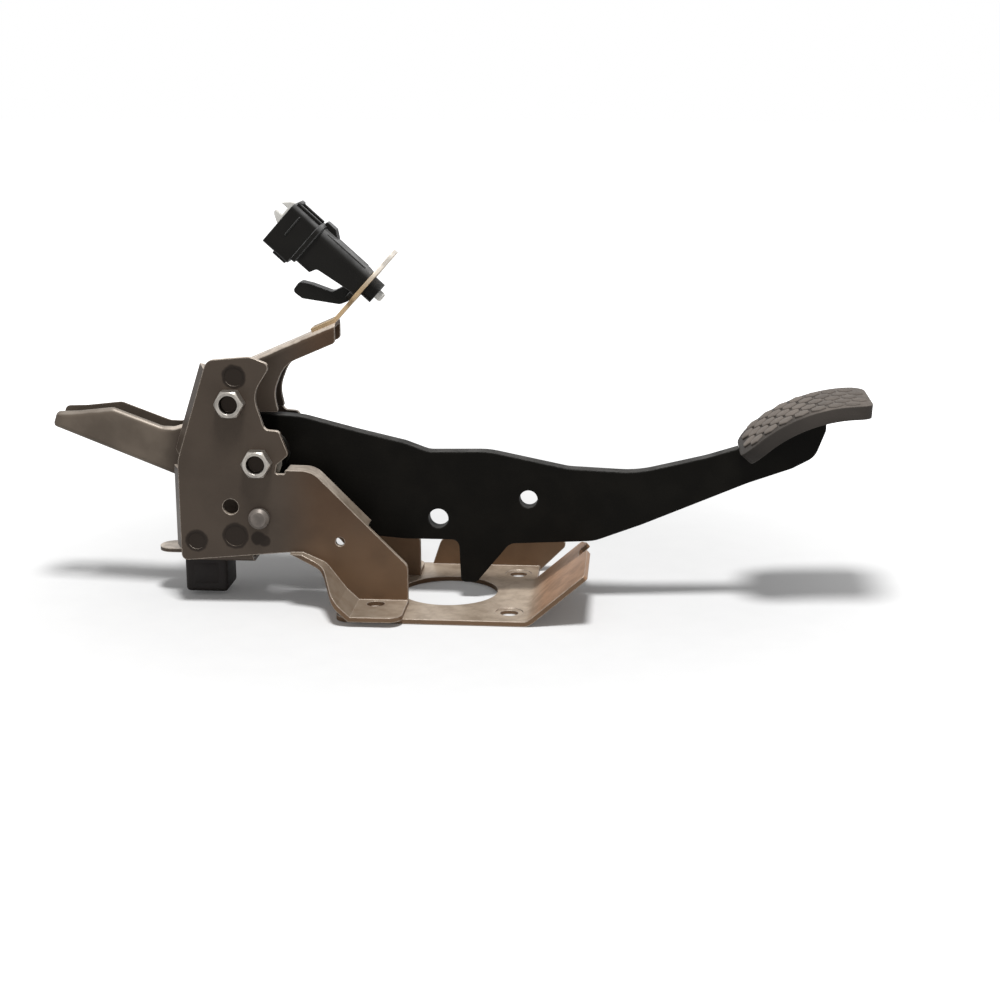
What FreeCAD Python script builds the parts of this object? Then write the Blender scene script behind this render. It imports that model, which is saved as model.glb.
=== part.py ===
"""Hanging brake pedal with its pivot bracket, firewall base plate and stop-lamp switch.

Frame: +X runs along the pedal towards the pad, +Y to the right side plate, +Z away from
the firewall. The origin is the centre of the four firewall holes, on the underside of
the base plate. All sizes are millimetres.
"""
import FreeCAD, Part
import math
import os

V = FreeCAD.Vector

# Sheet metal of the bracket
SHEET = 2.5                 # side plates, base plate, brace and cross web
LIGHT_SHEET = 2.0           # switch bracket, switch tab and buffer plate
PLATE_INSIDE = 49.0         # clear width between the two side plates
PLATE_FLANGE = 10.0         # stiffening flanges on the side plates
BEND_RADIUS = 3.0           # outside radius of the folded channels
RIM_FLANGE = 3.5            # outward rim under the wing, where it starts

# Axes that the bracket and the pedal share
PIVOT_X = -92.5
PIVOT_Z = 75.0
CLAMP_DX = -12.5            # clamp bolt, from the pivot
CLAMP_DZ = 30.0
STOP_DROP = 28.5            # stop pin below the pivot

# Firewall base plate
HOLE_SPACING = 67.0
HOLE_DIA = 9.0
HOLE_DISH_DIA = 14.0
HOLE_DISH_DEPTH = 0.6
PUSHROD_HOLE_DIA = 50.0
BASE_LEFT = -52.0
BASE_RIGHT = 44.0
BASE_NEAR = -49.0
BASE_FAR = 50.0
BASE_CORNER = 7.0
TOE_LENGTH = 38.0
TOE_ANGLE = 41.0
TOE_FAR = 24.0
TOE_NOTCH_WIDTH = 12.0
TOE_NOTCH_DEPTH = 6.0
TOE_NOTCH_INSET = 14.0      # notch from the toe's far end
TOE_BEND = 7.0              # outside radius where the toe is folded up
FOLD_RUN = 12.0             # sheet either side of that fold
BACK_HEIGHT = 18.0
BACK_LEFT = -15.0
FOOT_WIDTH = 33.0
FOOT_RIGHT = -18.0
LEFT_FOOT_REACH = 29.0
RIGHT_FOOT_REACH = 20.0
FOOT_CORNER = 7.0

# Outline of a side plate: the crowns are (x, z, corner) from the pivot, the weld marks
# (x from the pivot, height, width)
LEFT_CROWN = [(-24.0, 51.0, 5), (-2.5, 53.0, 8), (8.0, 49.0, 3), (-1.5, 34.0, 14)]
RIGHT_CROWN = [(-28.0, 38.0, 5), (-2.0, 38.0, 6), (-1.0, 26.0, 8)]
PLATE_LEFT = -133.0
PLATE_LOW = 23.5
LEFT_LEAN = 65.0           # left flange, from the plate's plane
WING_DROP = 23.0            # height where the wing's edge turns down to the foot
PIERCED_DIA = 4.6
PIERCED_DX = 40.5           # pierced hole in the wing, from the pivot
PIERCED_DZ = -40.0
WELD_MARKS = [(-10.5, 118.0, 9.4), (-32.5, 34.0, 8.8), (-12.5, 37.0, 10.8)]

# Fasteners
BOLT_DIA = 8.0
BOLT_FIT = 0.1              # radial room round a shank
HEX_FLATS = 13.0
HEX_HEIGHT = 6.5
HEAD_DISH_DIA = 9.5
HEAD_DISH_DEPTH = 3.0
NUT_FIT = 0.05
THREAD_PROUD = 3.0
STOP_PIN_DIA = 10.0
STOP_NECK_DIA = 8.0
STOP_HEAD_DIA = 10.5
STOP_HEAD_HEIGHT = 4.0
SPARE_HOLE_DIA = 8.0
SPARE_HOLE_DX = -14.5       # spare hole in the side plate, from the pivot
SPARE_HOLE_DZ = -23.0

# Pivot
SLEEVE_DIA = 12.0
BUSH_WALL = 2.0
BUSH_FLANGE_DIA = 23.0
BUSH_FLANGE = 1.5
BUSH_LENGTH = 14.0
TUBE_WALL = 2.5
RUNNING = 0.03              # radial running clearance
SIDE_PLAY = 0.3             # axial play at each bush flange

# Pedal arm and pad
ARM_THICKNESS = 8.0
HUB_RADIUS = 20.0
ARM_REACH = 281.0           # pivot to the far end of the arm
STOP_GAP = 0.4              # arm to stop pin at rest
# Upper and lower edge of the arm as (x, z, corner radius) from the pivot, hub to pad and back
ARM_TOP = [(18.0, 18.8, 40), (44.5, 12.0, 60), (70.5, 6.0, 10), (82.5, 1.6, 12), (113.0, 2.2, 40),
           (153.5, -6.0, 30), (188.0, -7.5, 60), (222.5, 1.0, 60)]
ARM_LOW = [(191.0, -34.0, 60), (167.0, -43.2, 20), (124.0, -45.5, 6), (107.0, -66.5, 2.5),
           (99.0, -66.5, 2.5), (98.0, -44.0, 4), (70.0, -44.0, 30)]
# Its pad end, from the arm's reach and below the pad's crown or from the pivot's height, and the
# edge that meets the stop pin, from the pin's face
ARM_SEAT = [(-41.0, -26.1, 10), (-23.0, -9.0, 0), (0.0, -6.0, 0)]
ARM_END = [(0.0, 16.0, 6), (-5.0, 2.5, 10), (-16.0, -3.5, 8), (-38.0, -11.5, 40)]
ARM_STOP = [(6.0, -39.0, 5), (0.0, -33.0, 4)]
CLEVIS_HOLE_DIA = 10.2
CLEVIS_DX = 87.5
CLEVIS_DZ = -33.0
SPARE_ARM_HOLE_DIA = 9.2
SPARE_ARM_HOLE_DX = 133.5
SPARE_ARM_HOLE_DZ = -22.0
PAD_WIDTH = 50.0
PAD_THICKNESS = 4.2
PAD_PLATE = 2.5
PAD_LIP = 2.5
PAD_FIT = 0.1
PAD_TOE_CORNER = 9.0
PAD_HEEL_CORNER = 14.0
PAD_RADIUS = 77.5           # crown of the pad along its length
PAD_LENGTH = 63.0
PAD_OVERHANG = 20.5         # toe of the pad beyond the arm's end
PAD_CROWN_DX = 16.5         # highest line of the pad, from the arm's end
PAD_CROWN_DZ = 32.7         # and above the pivot
STUD_FLATS = 7.0
STUD_HEIGHT = 1.2
STUD_PITCH = 8.3
STUD_ROW_PITCH = 15.0
STUD_STRETCH = 1.5          # studs are longer across the pad

# Stop-lamp switch, along its own axis from the tab it is fixed in
SWITCH_TILT = 42.0          # plunger axis below the horizontal
SWITCH_RISE = 23.9          # bracket's end to the switch axis, along the tab
BARREL_DEPTH = 16.0
BARREL_LENGTH = 22.0
BARREL_LOW = -6.3           # lower side of the barrel at the tab
BARREL_TAPER = 3.4
NOSE_DIA = 11.6
NOSE_LENGTH = 8.0
NOSE_FIT = 0.2
PLUNGER_DIA = 5.0
PLUNGER_PROUD = 3.5
PLUNGER_SHANK = 18.0
BLOCK_LENGTH = 13.0
LATCH_RISE = 3.0            # catch on the upper side of the block
RIDGE = 0.8                 # raised band where the shroud meets the block
BLOCK_LOW = -14.0
BLOCK_HIGH = 6.8
BLOCK_DEPTH = 19.0
CAP_LENGTH = 16.0
CAP_LOW = -17.5
CAP_WALL = 1.6
CAP_DEPTH = 18.0
SOCKET_DEPTH = 11.0
BLADE_WIDTH = 2.4
BLADE_THICKNESS = 0.8
BLADE_LENGTH = 7.0
LOCK_HEIGHT = 5.0
LOCK_REACH = 27.0
LOCK_WIDTH = 8.0
PLUNGER_FIT = 0.05
PLUNGER_BORE = 16.0
BLADE_LOW_X = -14.5
BLADE_PITCH = 3.0
BLADE_ROW = 3.6
INSERT_LOW = -8.0
INSERT_NEAR = 2.5           # near side of the insert, across the socket
INSERT_PROUD = 6.0
INSERT_ROOM = 1.5           # insert to the shroud's far wall

# Switch bracket, brace, buffer
STRUT_WIDTH = 18.0
STRUT_WALL = 9.0
STRUT_SLOPE = 23.5
STRUT_END_X = -55.5
STRUT_END_Z = 142.3
STRUT_LENGTH = 66.0
TAB_WIDTH = 22.0
TAB_NECK = 12.0
TAB_REACH = 22.0
TAB_LAP = 13.0
BRACE_WIDTH = 20.0
BRACE_TIP_X = -202.0
BRACE_TIP_Z = 88.0
BRACE_TIP_WALL = 7.5
BRACE_WALL = 23.5
BRACE_SLOPE = 21.4
BRACE_CREST = 32.0          # crest of the brace's walls, from its tip
BRACE_WAIST = 23.0          # waist of the brace's walls, from the cross web
BRACE_HOLE_DIA = 9.0
BRACE_HOLE_INSET = 15.0
WEB_X = -122.0
WEB_LOW = 55.0
WEB_HIGH = 98.0
WEB_FLANGE = 9.0
BUFFER_LEFT = -130.0
BUFFER_RIGHT = -97.0
BUFFER_TONGUE = 21.0
BUFFER_TONGUE_WIDTH = 16.0
BUFFER_FLOOR = 22.0
BUFFER_BEND = 5.0           # outside radius of the channel's folds
BUFFER_SIDE = 22.0
RUBBER_LENGTH = 22.0
RUBBER_INSET = 5.0          # middle of the rubber from the buffer plate's end
RUBBER_WIDTH = 22.0
RUBBER_CLEAR = 2.0          # rubber block above the firewall face
RUBBER_STEM_DIA = 9.0
RUBBER_BUTTON_DIA = 14.0
RUBBER_BUTTON_HEIGHT = 5.0
RUBBER_FIT = 0.2
WELD_MARK_DEPTH = 0.3
STRUT_SKIRT = 8.0           # bracket wall below the clamp bolt

# Values worked out from the driving sizes
INNER = PLATE_INSIDE / 2
OUTER = INNER + SHEET
CLAMP_X = PIVOT_X + CLAMP_DX
CLAMP_Z = PIVOT_Z + CLAMP_DZ
STOP_Z = PIVOT_Z - STOP_DROP
HALF_ARM = ARM_THICKNESS / 2
PAD_TOE_X = PIVOT_X + ARM_REACH + PAD_OVERHANG
BUSH_DIA = SLEEVE_DIA + 2 * RUNNING + 2 * BUSH_WALL
TUBE_DIA = BUSH_DIA + 2 * TUBE_WALL
TUBE_HALF = INNER - SIDE_PLAY - BUSH_FLANGE
FOOT_TOP = 2 * SHEET
FOOT_LEFT = FOOT_RIGHT - FOOT_WIDTH
RUBBER_X = BUFFER_LEFT + RUBBER_INSET
SWITCH_TURN = FreeCAD.Rotation(V(0, 1, 0), SWITCH_TILT - 90)
STRUT_END = V(STRUT_END_X, 0, STRUT_END_Z)
SWITCH_PLACE = FreeCAD.Placement(
    STRUT_END + SWITCH_TURN.multVec(V(SWITCH_RISE, 0, LIGHT_SHEET)), SWITCH_TURN)


def rounded_wire(points, lift):
    """Closed wire of lines and tangent arcs through (u, v, radius) corners.

    lift turns a flat (u, v) pair into a point in space.
    """
    corners = [lift(u, v) for u, v, _ in points]
    starts = []
    ends = []
    middles = []
    for index, (_, _, radius) in enumerate(points):
        corner = corners[index]
        back = corners[index - 1] - corner
        ahead = corners[(index + 1) % len(corners)] - corner
        half = back.getAngle(ahead) / 2
        room = 0.48 * min(back.Length, ahead.Length)
        radius = min(radius, room * math.tan(half))
        cut = radius / math.tan(half)
        back.normalize()
        ahead.normalize()
        starts.append(corner + back * cut)
        ends.append(corner + ahead * cut)
        towards = back + ahead
        if radius > 0:
            towards.normalize()
        middles.append(corner + towards * (radius / math.sin(half) - radius))
    edges = []
    for index, (_, _, radius) in enumerate(points):
        if radius > 0:
            arc = Part.Arc(starts[index], middles[index], ends[index])
            edges.append(arc.toShape())
        following = starts[(index + 1) % len(points)]
        edges.append(Part.LineSegment(ends[index], following).toShape())
    return Part.Wire(edges)


def side_face(points, y):
    """Flat face in a plane of constant Y, from (x, z, radius) corners."""
    return Part.Face(rounded_wire(points, lambda x, z: V(x, y, z)))


def side_prism(points, y_from, y_to):
    """Side outline extruded along Y."""
    return side_face(points, y_from).extrude(V(0, y_to - y_from, 0))


def plan_prism(points, z_from, z_to):
    """Plan outline, (x, y, radius) corners, extruded along Z."""
    face = Part.Face(rounded_wire(points, lambda x, y: V(x, y, z_from)))
    return face.extrude(V(0, 0, z_to - z_from))


def end_prism(points, x, run):
    """End outline, (y, z, radius) corners, extruded along X."""
    face = Part.Face(rounded_wire(points, lambda y, z: V(x, y, z)))
    return face.extrude(V(run, 0, 0))


def cross_rod(x, z, dia, y_from, y_to):
    """Round bar along Y."""
    return Part.makeCylinder(dia / 2, y_to - y_from, V(x, y_from, z), V(0, 1, 0))


def span_box(x_from, x_to, y_from, y_to, z_from, z_to):
    """Box given by its two corners."""
    return Part.makeBox(x_to - x_from, y_to - y_from, z_to - z_from, V(x_from, y_from, z_from))


def hexagon(x, z, flats, y_from, y_to):
    """Hexagonal bar along Y, with a corner to the right."""
    reach = flats / math.sqrt(3)
    turns = [math.radians(60 * k) for k in range(6)]
    points = [(x + reach * math.cos(a), z + reach * math.sin(a), 0) for a in turns]
    return side_prism(points, y_from, y_to)


def mirrored(shape):
    """The shape seen in the plane between the side plates."""
    return shape.mirror(V(0, 0, 0), V(0, 1, 0))


def rounded_edges(shape, radius, test):
    """The shape with each edge whose two ends pass the test rounded."""
    chosen = []
    for edge in shape.Edges:
        ends = [vertex.Point for vertex in edge.Vertexes]
        if len(ends) == 2 and test(ends[0], ends[1]):
            chosen.append(edge)
    return shape.makeFillet(radius, chosen)


def plate_outline(crown):
    """Corners of a side plate: its crown, the lug, the wing and the root of its foot."""
    lug = [(4.0, 16.5, 3), (11.0, 16.0, 2.5), (15.5, 4.0, 2), (9.5, -1.0, 1),
           (8.5, -5.8, 1), (13.5, -5.8, 0.5), (13.5, -3.8, 0.5), (27.0, -4.0, 12)]
    upper = [(PIVOT_X + dx, PIVOT_Z + dz, r) for dx, dz, r in crown + lug]
    lower = [(FOOT_RIGHT, WING_DROP, 5), (FOOT_RIGHT, SHEET, 0), (FOOT_LEFT + 7, SHEET, 0),
             (FOOT_LEFT, 9.0, 5), (FOOT_LEFT - 10, 22.0, 5), (-77.0, 29.0, 8),
             (PLATE_LEFT, PLATE_LOW, 3)]
    return upper + lower + [(PLATE_LEFT, PIVOT_Z, 12)]


def edge_flange(start, end, length, lean):
    """Flange on a straight plate edge, leaning back from it, set in from both ends."""
    run = end - start
    out = V(-run.z, 0, run.x)
    out.normalize()
    bend = math.radians(lean)
    slope = V(0, math.sin(bend), 0) + out * math.cos(bend)
    normal = V(0, math.cos(bend), 0) - out * math.sin(bend)
    first = start + run * 0.06
    last = run * 0.86
    corners = [first, first + slope * length]
    corners = corners + [corners[1] + normal * SHEET, corners[0] + normal * SHEET]
    quad = Part.Face(Part.makePolygon(corners + corners[:1]))
    return quad.extrude(last)


def side_plate(crown, foot_reach):
    """Left side plate: pressed sheet with a wing, an outward foot and stiffening flanges."""
    face = side_face(plate_outline(crown), -OUTER)
    panel = face.extrude(V(0, SHEET, 0))
    rim = face.cut(face.makeOffset2D(-SHEET))
    inward = rim.extrude(V(0, SHEET + PLATE_FLANGE, 0))
    wing_top = span_box(PIVOT_X + 14, FOOT_RIGHT - 20, -OUTER, INNER, WING_DROP + 20, PIVOT_Z + 1)
    foot_front = -OUTER - foot_reach
    outward = rim.extrude(V(0, -foot_reach, 0))
    ramp = plan_prism(
        [(FOOT_LEFT - 26.0, -OUTER, 0), (FOOT_LEFT - 26.0, -OUTER - RIM_FLANGE, 0),
         (FOOT_LEFT - 9.0, -OUTER - RIM_FLANGE * 2, 10), (FOOT_LEFT - 1.0, foot_front, FOOT_CORNER),
         (FOOT_LEFT + 8.0, foot_front, 0), (FOOT_LEFT + 8.0, -OUTER, 0)], SHEET, WING_DROP + 6)
    foot = plan_prism(
        [(FOOT_LEFT + 7.0, -INNER, 0), (FOOT_LEFT + 7.0, foot_front, 0),
         (FOOT_RIGHT, foot_front, FOOT_CORNER), (FOOT_RIGHT, -INNER, 0)], SHEET, FOOT_TOP)
    lower_edge = edge_flange(V(PLATE_LEFT, -OUTER, PLATE_LOW + 3), V(PLATE_LEFT, -OUTER, PIVOT_Z),
                             PLATE_FLANGE, LEFT_LEAN)
    upper_edge = edge_flange(V(PLATE_LEFT, -OUTER, PIVOT_Z),
                             V(PIVOT_X + crown[0][0], -OUTER, PIVOT_Z + crown[0][1]),
                             PLATE_FLANGE, LEFT_LEAN)
    body = panel.fuse([inward.common(wing_top), outward.common(ramp), foot,
                       lower_edge, upper_edge])
    half = HOLE_SPACING / 2
    stud_hole = Part.makeCylinder(HOLE_DIA / 2, 4 * SHEET, V(-half, -half, 0))
    shank = BOLT_DIA + 2 * BOLT_FIT
    tools = [stud_hole,
             cross_rod(PIVOT_X, PIVOT_Z, shank, -OUTER, -INNER),
             cross_rod(CLAMP_X, CLAMP_Z, shank, -OUTER, -INNER),
             cross_rod(PIVOT_X, STOP_Z, STOP_NECK_DIA + 2 * BOLT_FIT, -OUTER, -INNER),
             cross_rod(PIVOT_X + SPARE_HOLE_DX, PIVOT_Z + SPARE_HOLE_DZ, SPARE_HOLE_DIA, -OUTER, -INNER),
             cross_rod(PIVOT_X + PIERCED_DX, PIVOT_Z + PIERCED_DZ, PIERCED_DIA, -OUTER, -INNER)]
    for dx, z, dia in WELD_MARKS:
        tools.append(cross_rod(PIVOT_X + dx, z, dia, -OUTER, -OUTER + WELD_MARK_DEPTH))
    return body.cut(tools).removeSplitter()


def base_plate():
    """Firewall plate with its raised toe flange and the upright along its far edge."""
    fold = BASE_RIGHT - FOLD_RUN
    sheet = plan_prism(
        [(BASE_LEFT, BASE_NEAR, BASE_CORNER), (fold, BASE_NEAR, 0), (fold, TOE_FAR, 0),
         (BASE_RIGHT, TOE_FAR, 0), (BASE_RIGHT, BASE_FAR, 0), (BASE_LEFT, BASE_FAR, BASE_CORNER)], 0, SHEET)
    turn = math.radians(TOE_ANGLE)
    along = V(math.cos(turn), 0, math.sin(turn))
    across = V(-math.sin(turn), 0, math.cos(turn)) * SHEET
    root = V(BASE_RIGHT, BASE_NEAR, 0)
    length = TOE_LENGTH
    notch_near = TOE_FAR - TOE_NOTCH_WIDTH - TOE_NOTCH_INSET - BASE_NEAR
    notch_far = notch_near + TOE_NOTCH_WIDTH
    far = TOE_FAR - BASE_NEAR
    floor = length - TOE_NOTCH_DEPTH
    corners = [(FOLD_RUN, 0, 0), (length, 0, 2), (length, notch_near, 2), (floor, notch_near, 2),
               (floor, notch_far, 2), (length, notch_far, 2), (length - 5.0, far, 2), (FOLD_RUN, far, 0)]
    wire = rounded_wire(corners, lambda u, v: root + along * u + V(0, v, 0))
    toe = Part.Face(wire).extrude(across)
    rim = V(BASE_RIGHT, 0, 0) + along * FOLD_RUN
    inside = BASE_RIGHT - SHEET * math.tan(turn / 2)
    knee = side_prism([(fold, 0, 0), (BASE_RIGHT, 0, TOE_BEND), (rim.x, rim.z, 0),
                       (rim.x + across.x, rim.z + across.z, 0), (inside, SHEET, TOE_BEND - SHEET),
                       (fold, SHEET, 0)], BASE_NEAR, TOE_FAR)
    rise = BACK_HEIGHT
    back = side_prism([(BACK_LEFT, 0, 0), (BASE_RIGHT, 0, 0), (BASE_RIGHT + rise, rise, 3),
                       (BACK_LEFT + 6.0, rise, 6)], BASE_FAR - SHEET, BASE_FAR)
    plate = sheet.fuse([toe, knee, back])
    tools = [Part.makeCylinder(PUSHROD_HOLE_DIA / 2, SHEET)]
    half = HOLE_SPACING / 2
    for x in (-half, half):
        for y in (-half, half):
            tools.append(Part.makeCylinder(HOLE_DIA / 2, SHEET, V(x, y, 0)))
    for y in (-half, half):
        tools.append(Part.makeCylinder(HOLE_DISH_DIA / 2, HOLE_DISH_DEPTH,
                                       V(half, y, SHEET - HOLE_DISH_DEPTH)))
    return plate.cut(tools).removeSplitter()


def cross_web():
    """Upright sheet between the side plates, with welding flanges, that backs the brace."""
    outer = span_box(WEB_X, WEB_X + WEB_FLANGE, -INNER, INNER, WEB_LOW, WEB_HIGH)
    hollow = span_box(WEB_X + SHEET, WEB_X + WEB_FLANGE, -INNER + SHEET, INNER - SHEET,
                      WEB_LOW, WEB_HIGH)
    return outer.cut(hollow)


def brace_floor(x, depth):
    """Height of the brace's underside at x, raised by a depth square to it."""
    slope = math.radians(BRACE_SLOPE)
    return BRACE_TIP_Z - (x - BRACE_TIP_X) * math.tan(slope) + depth / math.cos(slope)


def column_brace():
    """Channel, open on top, that runs from the cross web to its fixing hole."""
    half = BRACE_WIDTH / 2
    crest_x = BRACE_TIP_X + BRACE_CREST
    root_x = WEB_X
    waist_x = root_x - BRACE_WAIST
    corners = [(BRACE_TIP_X, BRACE_TIP_Z, 2),
               (BRACE_TIP_X + 2.5, BRACE_TIP_Z + BRACE_TIP_WALL, 3),
               (BRACE_TIP_X + 14.0, brace_floor(BRACE_TIP_X + 14.0, BRACE_TIP_WALL + 5), 8),
               (crest_x, brace_floor(crest_x, BRACE_WALL - 2.5), 6),
               (waist_x, brace_floor(waist_x, BRACE_WALL - 2.0), 8),
               (waist_x + 6.0, brace_floor(waist_x + 6.0, BRACE_WALL), 5),
               (root_x, brace_floor(root_x, BRACE_WALL + 11.0), 0),
               (root_x, brace_floor(root_x, 0), 0)]
    body = side_prism(corners, -half, half)
    body = rounded_edges(body, BEND_RADIUS, lambda a, b: a.y * b.y > 0 and abs(a.x - b.x) > BRACE_WIDTH
                         and a.z < brace_floor(a.x, 0) + 0.01 and b.z < brace_floor(b.x, 0) + 0.01)
    left = BRACE_TIP_X - 5.0
    right = root_x + 1.0
    hollow = side_prism([(left, brace_floor(left, SHEET), 0), (left, WEB_HIGH + 30, 0),
                         (right, WEB_HIGH + 30, 0), (right, brace_floor(right, SHEET), 0)],
                        -half + SHEET, half - SHEET)
    tip_cut = plan_prism(
        [(BRACE_TIP_X - 1.0, -half, 7), (BRACE_TIP_X - 1.0, half, 7),
         (root_x, half, 0), (root_x, -half, 0)], 0, WEB_HIGH + 30)
    slope = math.radians(BRACE_SLOPE)
    hole_x = BRACE_TIP_X + BRACE_HOLE_INSET
    drill = Part.makeCylinder(BRACE_HOLE_DIA / 2, 6 * SHEET,
                              V(hole_x, 0, brace_floor(hole_x, SHEET / 2))
                              - V(math.sin(slope), 0, math.cos(slope)) * 3 * SHEET,
                              V(math.sin(slope), 0, math.cos(slope)))
    return body.cut(hollow).common(tip_cut).cut(drill)


def strut_top(x, depth):
    """Height of the switch bracket's top at x, lowered by a depth square to it."""
    slope = math.radians(STRUT_SLOPE)
    return STRUT_END_Z + (x - STRUT_END_X) * math.tan(slope) - depth / math.cos(slope)


def switch_bracket():
    """Channel, open below, from the clamp bolt up to the switch tab."""
    half = STRUT_WIDTH / 2
    root = STRUT_END_X - STRUT_LENGTH * math.cos(math.radians(STRUT_SLOPE))
    low = CLAMP_Z - STRUT_SKIRT
    corners = [(root, strut_top(root, 0), 0), (STRUT_END_X, STRUT_END_Z, 0),
               (STRUT_END_X, strut_top(STRUT_END_X, STRUT_WALL), 2),
               (CLAMP_X + 23.5, strut_top(CLAMP_X + 23.5, STRUT_WALL), 16),
               (CLAMP_X + 18.0, CLAMP_Z + 2.0, 18), (CLAMP_X + 20.0, low, 1), (root, low, 3)]
    body = side_prism(corners, -half, half)
    left = root - 1.0
    right = STRUT_END_X + 1.0
    wall = LIGHT_SHEET
    hollow = side_prism([(left, strut_top(left, wall), 0), (right, strut_top(right, wall), 0),
                         (right, low - 1.0, 0), (left, low - 1.0, 0)], -half + wall, half - wall)
    shank = BOLT_DIA + 2 * BOLT_FIT
    body = rounded_edges(body, BEND_RADIUS, lambda a, b: abs(a.y) > half - 0.01 and abs(b.y) > half - 0.01
                         and a.y * b.y > 0 and a.z > strut_top(a.x, 0) - 0.01
                         and b.z > strut_top(b.x, 0) - 0.01)
    return body.cut([hollow, cross_rod(CLAMP_X, CLAMP_Z, shank, -half, half)])


def switch_tab():
    """Thin tab, lapped on the bracket's end and pierced for the nose of the switch."""
    wall = LIGHT_SHEET
    half = TAB_WIDTH / 2
    neck = TAB_NECK / 2
    foot = -SWITCH_RISE
    corners = [(foot, -neck, 0), (-half - 2.0, -neck, 3), (-half + 3.0, -half, 5),
               (half - 3.0, -half, 5), (half + 2.0, -neck, 3), (TAB_REACH, -neck, 4),
               (TAB_REACH, neck, 4), (half + 2.0, neck, 3), (half - 3.0, half, 5),
               (-half + 3.0, half, 5), (-half - 2.0, neck, 3), (foot, neck, 0)]
    leaf = plan_prism(corners, -wall, 0)
    hole = Part.makeCylinder(NOSE_DIA / 2 + NOSE_FIT, wall, V(0, 0, -wall))
    leaf = leaf.cut(hole)
    leaf.Placement = SWITCH_PLACE
    slope = math.radians(STRUT_SLOPE)
    lap_start = STRUT_END - V(math.cos(slope), 0, math.sin(slope)) * TAB_LAP
    lift = V(-math.sin(slope), 0, math.cos(slope)) * wall
    section = [lap_start, STRUT_END, STRUT_END + lift, lap_start + lift]
    lap = side_prism([(p.x, p.z, 0) for p in section], -neck, neck)
    return leaf.fuse(lap).removeSplitter()


def buffer_plate():
    """Channel across the housing's foot, with a tongue and a hole for the rubber buffer."""
    wall = LIGHT_SHEET
    top = BUFFER_FLOOR + BUFFER_SIDE
    run = BUFFER_RIGHT - BUFFER_LEFT
    outside = [(-INNER, top, 0), (-INNER, BUFFER_FLOOR, BUFFER_BEND), (INNER, BUFFER_FLOOR, BUFFER_BEND),
               (INNER, top, 0)]
    seat = BUFFER_FLOOR + wall
    inner = INNER - wall
    inside = [(-inner, top, 0), (-inner, seat, BUFFER_BEND - wall), (inner, seat, BUFFER_BEND - wall),
              (inner, top, 0)]
    outer = end_prism(outside, BUFFER_LEFT, run)
    hollow = end_prism(inside, BUFFER_LEFT, run)
    half = BUFFER_TONGUE_WIDTH / 2
    tip = BUFFER_LEFT - BUFFER_TONGUE
    tongue = plan_prism([(tip, -half, half - 0.5), (tip, half, half - 0.5),
                         (BUFFER_LEFT + 5, half, 0), (BUFFER_LEFT + 5, -half, 0)],
                        BUFFER_FLOOR, BUFFER_FLOOR + wall)
    hole = Part.makeCylinder(RUBBER_STEM_DIA / 2 + RUBBER_FIT, wall, V(RUBBER_X, 0, BUFFER_FLOOR))
    return outer.cut(hollow).fuse(tongue).cut(hole).removeSplitter()


def rubber_buffer():
    """Rubber block pushed up into the buffer plate by its stem and button."""
    half_x = RUBBER_LENGTH / 2
    half_y = RUBBER_WIDTH / 2
    block = plan_prism([(RUBBER_X - half_x, -half_y, 3), (RUBBER_X + half_x, -half_y, 3),
                        (RUBBER_X + half_x, half_y, 3), (RUBBER_X - half_x, half_y, 3)],
                       RUBBER_CLEAR, BUFFER_FLOOR)
    seat = BUFFER_FLOOR + LIGHT_SHEET
    stem = Part.makeCylinder(RUBBER_STEM_DIA / 2, LIGHT_SHEET, V(RUBBER_X, 0, BUFFER_FLOOR))
    button = Part.makeCone(RUBBER_BUTTON_DIA / 2, RUBBER_STEM_DIA / 2, RUBBER_BUTTON_HEIGHT,
                           V(RUBBER_X, 0, seat))
    return block.fuse([stem, button])


def hex_bolt(x, z):
    """Hexagon bolt with a dished head on the left plate and its thread through the nut."""
    tip = OUTER + HEX_HEIGHT + THREAD_PROUD
    head = hexagon(x, z, HEX_FLATS, -OUTER - HEX_HEIGHT, -OUTER)
    crown = Part.makeCone(HEX_FLATS / 2 - 0.3, HEX_FLATS / 2 + 2.0, 2.3,
                          V(x, -OUTER - HEX_HEIGHT, z), V(0, 1, 0))
    barrel = cross_rod(x, z, 2 * HEX_FLATS, -OUTER - HEX_HEIGHT + 2.3, -OUTER)
    dish = Part.makeCone(HEAD_DISH_DIA / 2, HEAD_DISH_DIA / 2 - 0.8, HEAD_DISH_DEPTH,
                         V(x, -OUTER - HEX_HEIGHT, z), V(0, 1, 0))
    shank = cross_rod(x, z, BOLT_DIA, -OUTER, tip)
    return head.common(crown.fuse(barrel)).cut(dish).fuse(shank)


def hex_nut(x, z):
    """Plain nut against the right plate."""
    block = hexagon(x, z, HEX_FLATS, OUTER, OUTER + HEX_HEIGHT)
    return block.cut(cross_rod(x, z, BOLT_DIA + 2 * NUT_FIT, OUTER, OUTER + HEX_HEIGHT))


def pipe(x, z, outside, inside, y_from, y_to):
    """Round tube along Y."""
    return cross_rod(x, z, outside, y_from, y_to).cut(cross_rod(x, z, inside, y_from, y_to))


def clamp_spacers():
    """Three tubes that hold the switch bracket's walls apart from the side plates."""
    half = STRUT_WIDTH / 2
    inside = BOLT_DIA + 2 * BOLT_FIT
    inner_half = half - LIGHT_SHEET
    spans = [(-INNER, -half), (-inner_half, inner_half), (half, INNER)]
    return Part.makeCompound([pipe(CLAMP_X, CLAMP_Z, SLEEVE_DIA, inside, a, b) for a, b in spans])


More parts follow.
